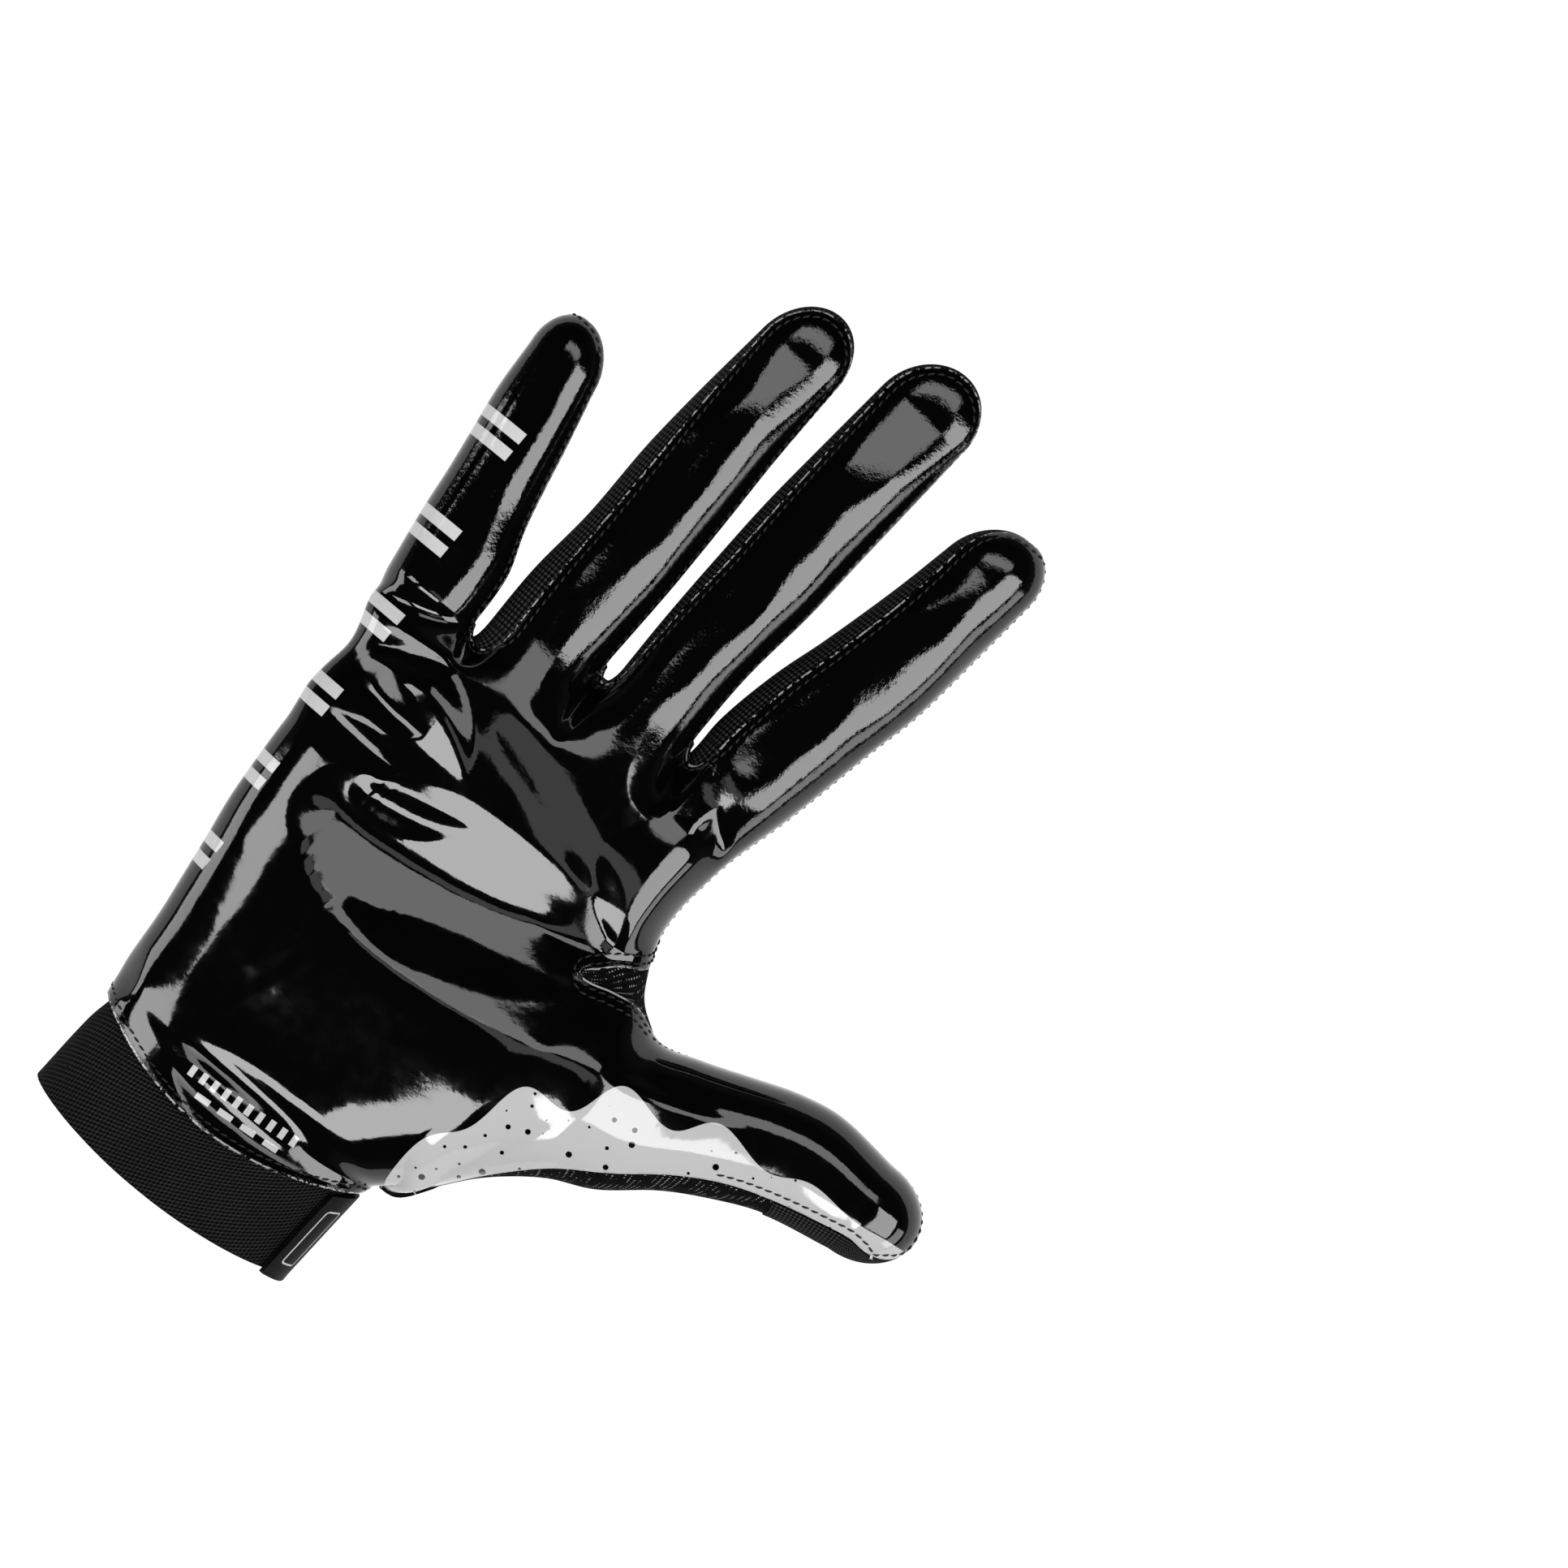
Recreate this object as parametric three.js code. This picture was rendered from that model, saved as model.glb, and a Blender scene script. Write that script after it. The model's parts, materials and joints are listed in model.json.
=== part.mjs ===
// Football glove for the right hand, lying palm up with the back of the hand on the ground.
// Millimetres. +Z is up, +Y runs to the fingertips and +X to the thumb.
// The origin is on the flat outer face of the back of the hand.
import * as THREE from 'three';

// Walls and seams
const PANEL_THICK = 1.2;
const STRIP_THICK = 1.1;
const CUFF_THICK = 2.0;
const STRAP_THICK = 1.6;
const SEAM_GAP = 0.4;
const TIP_CLEARANCE = 0.03;
const CROTCH_GAP = 1.9;
const CROTCH_GAP_REACH = 0.15;
const GROUND = 0;
const THUMB_SEAM = { root: 0.008, tip: 0.006 };

// Roundness of the cross-sections: 2 is an ellipse, more is boxier
const LOBE_POWER = 2.3;
const PALM_POWER = 2.6;

// Mesh steps
const SLOPE_STEP = 0.01;
const FINGER_COLUMNS = 6;
const CROTCH_COLUMNS = 3;
const FINGER_STEPS = 8;
const TIP_STEPS = 3;
const THUMB_STEPS = 11;
const STRIP_ACROSS = 3;
const CUFF_COLUMNS = 32;
const CUFF_ROWS = 4;

const { degToRad, lerp, smoothstep } = THREE.MathUtils;
const ease = (value) => smoothstep(value, 0, 1);

// A table with named columns becomes one object for each row
function table(columns, rows) {
  return rows.map((row) => Object.fromEntries(columns.map((name, i) => [name, row[i]])));
}

// Each lobe is a finger or the thumb. at is the place along it, low and high are its two silhouette
// edges across it, the palm and back angles are where those panels end, in degrees from straight up,
// and side, top and bottom are the heights of its silhouette, crown and underside.
const LOBE_COLUMNS = [
  'at', 'low', 'high', 'palmLow', 'palmHigh', 'backLow', 'backHigh', 'side', 'top', 'bottom',
];
const PINKY = {
  tipStart: 101.5,
  tipEnd: 112.4,
  baseLow: 46,
  baseHigh: 50.5,
  tip: { palm: 75, back: 125, turnLow: 44, turnHigh: 90 },
  rows: table(LOBE_COLUMNS, [
    [44, -51.1, -29.6, 118, 72, 122, 125, 12, 23, -1.5],
    [60, -53.6, -30.4, 118, 72, 122, 125, 11.5, 21.5, -1.5],
    [70, -54.8, -33.8, 118, 72, 122, 125, 11, 20, -1],
    [80, -56.3, -36.2, 118, 72, 122, 125, 10.5, 19.5, 0],
    [90, -57.7, -38.3, 118, 72, 122, 125, 11, 19.9, 1],
    [101.5, -58.3, -41.1, 118, 74, 122, 125, 12, 19.2, 3],
  ]),
};
const RING = {
  tipStart: 134,
  tipEnd: 147,
  baseLow: 50.5,
  baseHigh: 61,
  tip: { palm: 58, back: 125, turnLow: 90, turnHigh: 90 },
  rows: table(LOBE_COLUMNS, [
    [48, -28.2, -3.4, 27, 76, 125, 125, 12.5, 25.4, -1.5],
    [65, -28.2, -2.9, 30, 78, 125, 125, 12, 23.6, -1.5],
    [81, -26.7, -2.5, 36, 78, 125, 125, 11.5, 22.1, -1],
    [100, -26.4, -2.6, 37, 78, 125, 125, 11, 21.4, 0],
    [115, -25.2, -2.7, 43, 76, 125, 125, 11.5, 21.9, 1],
    [134, -23.1, -2.1, 56, 72, 125, 125, 13, 20.6, 3.5],
  ]),
};
const MIDDLE = {
  tipStart: 141,
  tipEnd: 153.9,
  baseLow: 61,
  baseHigh: 60.5,
  tip: { palm: 62, back: 125, turnLow: 90, turnHigh: 90 },
  rows: table(LOBE_COLUMNS, [
    [56, -0.4, 21.1, 57, 76, 125, 125, 12.5, 25.4, -1.5],
    [75, -0.5, 21.3, 48, 78, 125, 125, 12, 23.6, -1.5],
    [94, 0, 23.4, 44, 78, 125, 125, 11.5, 22.1, -0.5],
    [107, 0.6, 24.2, 45, 78, 125, 125, 11, 21.6, 0],
    [123, 2.1, 25.4, 50, 76, 125, 125, 12, 22.3, 1.5],
    [141, 3.9, 26.8, 57, 73, 125, 125, 14, 21.4, 4.5],
  ]),
};
const INDEX = {
  tipStart: 123.5,
  tipEnd: 135.6,
  baseLow: 60.5,
  baseHigh: 58,
  tip: { palm: 66, back: 118, turnLow: 90, turnHigh: 44 },
  rows: table(LOBE_COLUMNS, [
    [56, 22, 46.3, 36, 95, 125, 98, 13, 24.9, -1.5],
    [65, 21.9, 48.3, 36, 95, 125, 98, 12.5, 23.7, -1.5],
    [80, 24.8, 51.3, 38, 95, 125, 98, 12, 22.5, -1],
    [92, 28.4, 54, 39, 95, 125, 98, 11.5, 22, -0.5],
    [110, 33.1, 56, 40, 95, 125, 98, 12, 22.8, 1],
    [123.5, 36, 57.3, 46, 94, 125, 97, 13, 21.6, 3],
  ]),
};
const THUMB = {
  tipStart: 110,
  tipEnd: 123.3,
  tip: { palm: 80, back: 83, turnLow: 80, turnHigh: 80 },
  rows: table(LOBE_COLUMNS, [
    [30, -56, 12, 76, 50, 78, 130, 17, 36, -2],
    [37, -50.6, 13.5, 70, 50, 72, 130, 17, 35.6, -2],
    [45, -40.6, 13, 65, 54, 67, 127, 17, 34.6, -1],
    [54.6, -32.2, 5.4, 49, 86, 51, 92, 17.5, 32.5, 0.5],
    [65, -27, 7.9, 38, 112, 41, 117, 17.5, 30.5, 2],
    [75, -19, 11.7, 36, 115, 39, 118, 17, 29.5, 3],
    [85, -13.2, 15.4, 35, 115, 38, 118, 16.5, 28.5, 3.5],
    [95, -8.8, 17.3, 38, 115, 41, 118, 16, 27.5, 4],
    [110, -5.6, 16, 30, 112, 33, 115, 15, 26.6, 4.5],
  ]),
};
const FINGERS = [PINKY, RING, MIDDLE, INDEX];
const LEAN_REACH = 10;

// How far along the thumb it still takes part of its width, height and folds from the palm, and the share
// of its width on the wrist's side where both its panels run down to the side seam
const THUMB_BLEND = { width: 0.1, height: 0.28, foldsFrom: 0.3, foldsTo: 0.6, palmEdge: 0.97, seam: 0.7 };

// Cross-sections of the palm, from the cuff seam to below the knuckles. yLeft and yRight are where the
// section meets its two edges and bow pulls its middle down. left is the heel's silhouette, reach the
// thumb side's, and turn the angle where the section stops: at a side seam, or where the thumb goes on.
// heel, middle and ball are the crown heights over the three parts of the palm.
const PALM_ROWS = table(
  ['row', 'yLeft', 'yRight', 'bow', 'left', 'reach', 'turn', 'side', 'heel', 'middle', 'ball'],
  [
    [0, -58.8, -58, -8.5, -40, 27.5, 95, 17, 34.5, 35.8, 34.8],
    [1, -54.6, -56.5, -6, -40.6, 28.2, 94, 17, 33.2, 34.4, 33.6],
    [2, -50, -54.4, -3.5, -41.3, 29.4, 93, 17, 32, 33, 33.5],
    [3, -40, -46, -1, -42, 40, 45, 17, 32.5, 32, 34.5],
    [4, -31, -36.5, 0, -43.2, 50, 31, 17, 33, 31.6, 35.6],
    [5, -21, -25.5, 0, -44.6, 54, 28, 17, 33, 31.2, 36.2],
    [6, -12, -14, 0, -46, 55, 28.4, 17, 32.5, 30.6, 35.4],
    [7, -3, -3, 0, -46.8, 54, 30.2, 16.5, 31.5, 29.8, 33.4],
    [8, 5, 6.6, 0, -47.3, 51, 34.5, 16, 30.5, 29, 31.2],
    [9, 9, 9.4, 0, -47.5, 48, 43.7, 15.5, 30, 28.8, 30.2],
    [10, 13, 13.2, 0, -48.1, 45.5, 58.6, 15, 29.5, 28.8, 29.5],
    [11, 17, 16.9, 0, -48.6, 43.6, 92, 15, 29, 28.8, 29],
    [12, 22, 22.5, 0, -48.3, 41.6, 95, 14.5, 28.8, 29.2, 28.8],
    [13, 29.5, 30, 0, -47.5, 41.2, 95, 14, 28.4, 29.4, 28.6],
    [14, 38, 39, 0, -50, 42.2, 95, 13.5, 27, 28.8, 28],
  ],
);
const CROWN_REACH = 0.75;
const PALM_BOTTOM = -3;
const PALM_LAST = 14;
const KNUCKLE_ROW = 17;
const THUMB_FIRST_ROW = 2;
const WEB_ROW = 8;
const NOTCH_END_ROW = 11;
const HEEL_SEAM = { palm: 118, back: 121 };
const SIDE_SEAM_STEP = 3;
const BACK_BOW = 0.3;

// Where the finger and crotch columns cross the palm, as shares of its width at the knuckles
const COLUMN_SHARES = [0, 0.228, 0.304, 0.51, 0.56, 0.772, 0.859, 1];

// Crotches between neighbouring fingers: how far each reaches below the finger bases
const CROTCHES = [
  { name: 'pinky_ring', palmDepth: 5.6, backDepth: 4.6, swell: 2.2 },
  { name: 'ring_middle', palmDepth: 5.2, backDepth: 4.4, swell: 1.8 },
  { name: 'middle_index', palmDepth: 6.4, backDepth: 5, swell: 2.2 },
];

// Folds of the palm side, each a bent line from (x0, y0) over (xm, ym) to (x1, y1): a ridge where rise is
// positive, a valley where it is negative. left and right are the widths of its two flanks, seen from
// start to end, and startScale and endScale scale it at its ends, so that its flanks keep their slope.
const FOLDS = table(
  ['name', 'x0', 'y0', 'xm', 'ym', 'x1', 'y1', 'left', 'right', 'rise', 'startScale', 'endScale'],
  [
    ['palm crease', -26, 1.5, -4, 2.5, 34, 12.5, 15.5, 18, -3.5, 0.5, 0.5],
    ['thumb root ridge', -14, -13, 8, -18, 49, -7, 13, 48, 2.8, 0.1, 0.75],
    ['hollow edge', -24, 7.5, -13, 9.5, -2, 15, 3, 3, -0.7, 0.8, 0],
    ['heel crease upper', -52, 40, -42, 41, -27, 45, 5, 5, -1.6, 1, 0.2],
    ['heel crease high', -50, 30, -38, 33, -26, 38, 4, 6, -1.8, 1, 0],
    ['heel crease middle', -49, 24, -36, 24, -22, 24, 5, 5, -2.0, 1, 0],
    ['heel crease low', -49, 19, -36, 15, -22, 15, 5, 6, -1.4, 1, 0],
    ['index base dent', 33, 44, 37, 45, 41, 47, 5, 5, -1.5, 0, 0],
    ['index base ridge', 36, 15, 36.5, 28, 36.5, 43, 14, 5, 3, 0.15, 0.5],
    ['wrist dent', -46, -50, -41, -53, -35, -57, 4, 6, -1.8, 1, 0],
    ['wrist gather high', -22, -55, 2, -55, 26, -56, 3, 3, -1.3, 0, 0.5],
    ['wrist gather low', -20, -60, 2, -62, 26, -57, 4, 4, -1.6, 0, 0.4],
  ],
);
const FOLD_FLANK = 1.3;
const FOLD_ROUND = 1.8;
const FOLD_STEPS = 14;
const FOLD_LEAST_SCALE = 0.01;
const FOLD_SIDE_BLEND = 30;
// The folds grow from nothing at the low height to their full rise at the high one
const FOLD_HEIGHTS = { low: 14, high: 26 };

// The elastic band, from the edge tucked inside the panels to the free rim
const CUFF_SECTIONS = [
  { share: 0, left: -38.3, right: 25.7, top: 29.6, bottom: -1 },
  { share: 0.16, left: -38.3, right: 25.7, top: 31.2, bottom: -1 },
  { share: 0.4, left: -39.5, right: 25.3, top: 34.2, bottom: -1 },
  { share: 1, left: -40.4, right: 24.4, top: 37, bottom: -2 },
];
const CUFF_SIDE_HEIGHT = 17.3;
const CUFF_TUCK = 3.5;
const CUFF_FLOOR = 2.3;
const CUFF_RIM = { side: -81.3, palmBow: -3.4, backBow: 1 };
const STRAP = { from: 58, to: 212, upperGap: 1, lowerEdge: -82.6, gap: 0.35, columns: 18, rows: 3 };

// The knit triangle between thumb and index finger
const GUSSET = {
  thumbEnd: 3 / THUMB_STEPS, start: 0.16, across: 4, sag: 1.6, gap: 0.9, mostGap: 0.45, tuck: 1.6,
};

function hermite(from, slopeFrom, to, slopeTo, t) {
  const t2 = t * t;
  const t3 = t2 * t;
  return (2 * t3 - 3 * t2 + 1) * from + (t3 - 2 * t2 + t) * slopeFrom
    + (3 * t2 - 2 * t3) * to + (t3 - t2) * slopeTo;
}

// Smooth curve through one column of a table, flat beyond its ends
function readColumn(rows, by, key, value) {
  const last = rows.length - 1;
  if (value <= rows[0][by]) return rows[0][key];
  if (value >= rows[last][by]) return rows[last][key];
  let i = 0;
  while (rows[i + 1][by] < value) i += 1;
  const slope = (j) => {
    const before = rows[Math.max(j - 1, 0)];
    const after = rows[Math.min(j + 1, last)];
    return (after[key] - before[key]) / (after[by] - before[by]);
  };
  const step = rows[i + 1][by] - rows[i][by];
  const t = (value - rows[i][by]) / step;
  return hermite(rows[i][key], slope(i) * step, rows[i + 1][key], slope(i + 1) * step, t);
}

function readSection(rows, by, value) {
  const section = {};
  for (const key of Object.keys(rows[0])) section[key] = readColumn(rows, by, key, value);
  return section;
}

function rounded(value, power) {
  return Math.sign(value) * Math.abs(value) ** (2 / power);
}

function unrounded(value, power) {
  return Math.asin(Math.sign(value) * Math.min(Math.abs(value), 1) ** (power / 2));
}

function foldPoint(fold, s) {
  const bendX = 2 * fold.xm - (fold.x0 + fold.x1) / 2;
  const bendY = 2 * fold.ym - (fold.y0 + fold.y1) / 2;
  return new THREE.Vector2(
    lerp(lerp(fold.x0, bendX, s), lerp(bendX, fold.x1, s), s),
    lerp(lerp(fold.y0, bendY, s), lerp(bendY, fold.y1, s), s),
  );
}

// Nearest place on a fold's line: how far it is, its share of the line and on which side
function nearestOnFold(fold, x, y) {
  let nearest = { off: Infinity };
  for (let i = 0; i < FOLD_STEPS; i += 1) {
    const start = foldPoint(fold, i / FOLD_STEPS);
    const run = foldPoint(fold, (i + 1) / FOLD_STEPS).sub(start);
    const away = new THREE.Vector2(x, y).sub(start);
    const along = THREE.MathUtils.clamp(away.dot(run) / run.lengthSq(), 0, 1);
    const off = away.clone().addScaledVector(run, -along).length();
    if (off < nearest.off) nearest = { off, place: (i + along) / FOLD_STEPS, side: run.cross(away) };
  }
  return nearest;
}

// Height of the folds at a place on the palm side
function relief(x, y) {
  let sum = 0;
  for (const fold of FOLDS) {
    const { off, place, side } = nearestOnFold(fold, x, y);
    const scale = Math.max(
      FOLD_LEAST_SCALE,
      fold.startScale * (2 * place - 1) * (place - 1) + 4 * place * (1 - place)
        + fold.endScale * place * (2 * place - 1),
    );
    const width = scale * lerp(fold.right, fold.left, ease(side / FOLD_SIDE_BLEND + 0.5));
    const out = Math.hypot(off, FOLD_ROUND) - FOLD_ROUND;
    sum += fold.rise * scale * Math.max(0, 1 - out / width) ** FOLD_FLANK;
  }
  return sum;
}

// Lobes: the fingers and the thumb

function lobeHeight(section, angle) {
  const up = rounded(Math.cos(angle), LOBE_POWER);
  const height = up >= 0 ? lerp(section.side, section.top, up) : lerp(section.side, section.bottom, -up);
  return Math.max(height, GROUND);
}

// Point on a lobe's outer face. azimuth is null along the straight part and goes from -90 degrees on the
// low side over 0 at the very tip to 90 degrees on the high side round the tip.
function lobeSurface(lobe, at, angle, azimuth) {
  const out = rounded(Math.sin(angle), LOBE_POWER);
  let place = at;
  let across = out;
  let section = readSection(lobe.rows, 'at', at);
  if (azimuth !== null) {
    place = lobe.tipStart + (lobe.tipEnd - lobe.tipStart) * out * Math.cos(azimuth);
    across = out * Math.sin(azimuth);
    section = readSection(lobe.rows, 'at', lobe.tipStart);
  }
  const lean = azimuth === null ? 0 : tipLean(lobe) * (place - lobe.tipStart);
  const middle = (section.low + section.high) / 2 + lean;
  const half = (section.high - section.low) / 2;
  return { along: place, across: middle + half * across, height: lobeHeight(section, angle) };
}

// Sideways drift of a lobe's middle line over its tip
function tipLean(lobe) {
  const before = readSection(lobe.rows, 'at', lobe.tipStart - LEAN_REACH);
  const end = readSection(lobe.rows, 'at', lobe.tipStart);
  return (end.low + end.high - before.low - before.high) / 2 / LEAN_REACH;
}

// Angle where the palm or back panel of a lobe ends, on the side that azimuth points to
function seamAngle(lobe, panel, at, side, azimuth) {
  const section = readSection(lobe.rows, 'at', azimuth === null ? at : lobe.tipStart);
  const sideAngle = section[panel + (side < 0 ? 'Low' : 'High')];
  if (azimuth === null) return degToRad(sideAngle);
  const turn = degToRad(side < 0 ? lobe.tip.turnLow : lobe.tip.turnHigh);
  return degToRad(lerp(lobe.tip[panel], sideAngle, ease(Math.abs(azimuth) / turn)));
}

// Point of a lobe's palm or back panel: u from -1 to 1 across, v from 0 to 1 along, to 2 round the tip
function lobePanelPoint(lobe, panel, u, v, startAt) {
  let share = Math.abs(u);
  let side = u < 0 ? -1 : 1;
  let azimuth = null;
  let at = lerp(startAt, lobe.tipStart, Math.min(v, 1));
  if (v > 1) {
    const w = v - 1;
    const diskAcross = u * Math.sqrt(1 - w * w / 2);
    const diskAlong = w * Math.sqrt(1 - u * u / 2);
    share = Math.hypot(diskAcross, diskAlong);
    azimuth = Math.atan2(diskAcross, diskAlong);
    side = diskAcross < 0 ? -1 : 1;
    at = lobe.tipStart;
  }
  const seam = seamAngle(lobe, panel, at, side, azimuth);
  const angle = panel === 'palm' ? share * seam : Math.PI - share * (Math.PI - seam);
  return lobeSurface(lobe, at, azimuth === null ? side * angle : angle, azimuth);
}

function fingerPoint(finger, panel, u, v) {
  const startAt = lerp(finger.baseLow, finger.baseHigh, (u + 1) / 2);
  const point = lobePanelPoint(finger, panel, u, v, startAt);
  return new THREE.Vector3(point.across, point.along, point.height);
}

// Point on the side of a finger, from the palm panel's edge (q = 0) to the back panel's (q = 1)
function fingerSidePoint(finger, side, at, azimuth, q, gap) {
  const facing = azimuth === null ? side : azimuth;
  const palm = seamAngle(finger, 'palm', at, facing, azimuth);
  const back = seamAngle(finger, 'back', at, facing, azimuth);
  const section = readSection(finger.rows, 'at', at);
  const gapAngle = gap / (section.top - section.side);
  const angle = lerp(palm + gapAngle, back - gapAngle, q);
  const point = lobeSurface(finger, at, azimuth === null ? side * angle : angle, azimuth);
  return new THREE.Vector3(point.across, point.along, point.height);
}

// Crotch between two fingers: t from 0 to 1 round its U, q from the palm edge down to the back edge
function crotchPoint(index, t, q, gap) {
  const crotch = CROTCHES[index];
  const from = fingerSidePoint(FINGERS[index], 1, FINGERS[index].baseHigh, null, q, gap);
  const to = fingerSidePoint(FINGERS[index + 1], -1, FINGERS[index + 1].baseLow, null, q, gap);
  const turn = Math.PI * t;
  const depth = lerp(crotch.palmDepth, crotch.backDepth, q) - crotch.swell * 4 * q * (1 - q) - gap;
  const drop = lerp(from.z, to.z, (1 - Math.cos(turn)) / 2);
  return new THREE.Vector3(
    (from.x + to.x) / 2 + (from.x - to.x) / 2 * Math.cos(turn),
    (from.y + to.y) / 2 + (from.y - to.y) / 2 * Math.cos(turn) - depth * Math.sin(turn),
    drop,
  );
}

// Palm

function palmShape(row) {
  const section = readSection(PALM_ROWS, 'row', Math.min(row, PALM_LAST));
  section.centre = (section.left + section.reach) / 2;
  section.half = (section.reach - section.left) / 2;
  return section;
}

function palmCrown(section, share) {
  const toSide = ease(Math.abs(share) / CROWN_REACH);
  return lerp(section.middle, share < 0 ? section.heel : section.ball, toSide);
}

// Outer face of the palm at a row: angle from straight up, or from straight down on the back
function palmSurface(section, panel, angle) {
  const share = rounded(Math.sin(angle), PALM_POWER);
  const up = rounded(Math.cos(angle), PALM_POWER);
  const x = section.centre + section.half * share;
  const palmUp = panel === 'palm' ? up : -up;
  const height = palmUp >= 0
    ? lerp(section.side, palmCrown(section, share), palmUp)
    : lerp(section.side, PALM_BOTTOM, -palmUp);
  const bow = section.bow * (panel === 'palm' ? 1 : BACK_BOW);
  const across = (x - section.left) / (section.reach - section.left);
  const y = lerp(section.yLeft, section.yRight, across) + bow * (1 - share * share);
  return new THREE.Vector3(x, y, Math.max(height, GROUND));
}

// Column positions: the fingers' and crotches' columns side by side
function columnKnots() {
  const knots = [0];
  for (let i = 0; i < FINGERS.length; i += 1) {
    knots.push(knots.at(-1) + FINGER_COLUMNS);
    if (i < CROTCHES.length) knots.push(knots.at(-1) + CROTCH_COLUMNS);
  }
  return knots;
}
const KNOTS = columnKnots();
const COLUMNS = KNOTS.at(-1);

function knotOf(column) {
  let i = 0;
  while (i < KNOTS.length - 2 && column > KNOTS[i + 1]) i += 1;
  return i;
}

// Angle of a column at a palm section
function columnAngle(section, panel, column) {
  const turn = degToRad(section.turn);
  const stepped = turn > Math.PI / 2 ? Math.PI - turn - degToRad(SIDE_SEAM_STEP) : turn;
  const rightAngle = panel === 'palm' ? turn : stepped;
  const leftAngle = panel === 'palm' ? degToRad(HEEL_SEAM.palm) : Math.PI - degToRad(HEEL_SEAM.back);
  const rightX = section.centre + section.half * rounded(Math.sin(rightAngle), PALM_POWER);
  const knotAngle = (i) => {
    if (i === 0) return -leftAngle;
    if (i === KNOTS.length - 1) return rightAngle;
    const x = lerp(section.left, rightX, COLUMN_SHARES[i]);
    return unrounded((x - section.centre) / section.half, PALM_POWER);
  };
  const i = knotOf(column);
  const t = (column - KNOTS[i]) / (KNOTS[i + 1] - KNOTS[i]);
  return lerp(knotAngle(i), knotAngle(i + 1), t);
}

// Knuckle line: the bases of the fingers with the crotch bends between them
function knucklePoint(panel, column) {
  const i = knotOf(column);
  const t = (column - KNOTS[i]) / (KNOTS[i + 1] - KNOTS[i]);
  if (i % 2 === 0) return fingerPoint(FINGERS[i / 2], panel, 2 * t - 1, 0);
  return crotchPoint((i - 1) / 2, t, panel === 'palm' ? 0 : 1, 0);
}

function palmPoint(panel, row, column) {
  const section = palmShape(row);
  const low = palmSurface(section, panel, columnAngle(section, panel, column));
  if (row <= PALM_LAST) return raiseFolds(panel, low);
  const t = (row - PALM_LAST) / (KNUCKLE_ROW - PALM_LAST);
  const high = knucklePoint(panel, column);
  const point = low.clone().lerp(high, t);
  point.z = lerp(low.z, high.z, ease(t));
  return raiseFolds(panel, point, 1 - ease(t));
}

function raiseFolds(panel, point, share = 1) {
  if (panel === 'back') return point;
  const height = (point.z - FOLD_HEIGHTS.low) / (FOLD_HEIGHTS.high - FOLD_HEIGHTS.low);
  point.z += share * relief(point.x, point.y) * ease(height);
  return point;
}

// Thumb: it goes on from the palm's thumb side, row by row
function thumbPoint(panel, u, v) {
  const row = lerp(THUMB_FIRST_ROW, WEB_ROW, (u + 1) / 2);
  const section = palmShape(row);
  const start = palmSurface(section, panel, columnAngle(section, panel, COLUMNS));
  const lobe = lobePanelPoint(THUMB, panel, u, v, start.x);
  const share = Math.min((lobe.along - section.centre) / section.half, THUMB_BLEND.palmEdge);
  const palm = palmSurface(section, panel, unrounded(share, PALM_POWER));
  const root = palmShape(THUMB_FIRST_ROW);
  const corner = palmSurface(root, panel, columnAngle(root, panel, COLUMNS));
  const nearSeam = Math.max((-u - THUMB_BLEND.seam) / (1 - THUMB_BLEND.seam), 0);
  const point = new THREE.Vector3(
    lobe.along,
    lerp(palm.y, lobe.across, v > 1 ? 1 : ease(v / THUMB_BLEND.width)),
    lerp(lerp(palm.z, corner.z, nearSeam), lobe.height, v > 1 ? 1 : ease(v / THUMB_BLEND.height)),
  );
  const { foldsFrom, foldsTo } = THUMB_BLEND;
  return raiseFolds(panel, point, v > 1 ? 0 : 1 - ease((v - foldsFrom) / (foldsTo - foldsFrom)));
}

// Sheets: patches of four-sided faces, given a wall inwards from their outer face

// Grid vertex with the surface's own normal there, so that neighbouring panels' walls stay parallel
function surfaceVertex(pointAt, row, column, flip) {
  const point = pointAt(row, column);
  const alongRows = pointAt(row + SLOPE_STEP, column).sub(pointAt(row - SLOPE_STEP, column));
  const alongColumns = pointAt(row, column + SLOPE_STEP).sub(pointAt(row, column - SLOPE_STEP));
  const normal = alongColumns.cross(alongRows).normalize();
  return { point, normal: flip ? normal.negate() : normal };
}

function patch(rows, columns, pointAt, flip = false) {
  const grid = rows.map((row) => columns.map((column) => surfaceVertex(pointAt, row, column, flip)));
  const faces = [];
  for (let i = 0; i < rows.length - 1; i += 1) {
    for (let j = 0; j < columns.length - 1; j += 1) {
      const face = [grid[i][j], grid[i][j + 1], grid[i + 1][j + 1], grid[i + 1][j]];
      faces.push(flip ? face.reverse() : face);
    }
  }
  return faces;
}

function steps(from, to, count) {
  return Array.from({ length: count + 1 }, (_, i) => lerp(from, to, i / count));
}

// Shared corners become one vertex, with the mean of their normals
function weld(faces) {
  const points = [];
  const normals = [];
  const seen = new Map();
  const indexed = faces.map((face) => face.map(({ point, normal }) => {
    const key = `${point.x.toFixed(3)},${point.y.toFixed(3)},${point.z.toFixed(3)}`;
    if (!seen.has(key)) {
      seen.set(key, points.length);
      points.push(point);
      normals.push(new THREE.Vector3());
    }
    const i = seen.get(key);
    normals[i].add(normal);
    return i;
  }));
  normals.forEach((normal) => normal.normalize());
  return { points, normals, indexed };
}

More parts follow.
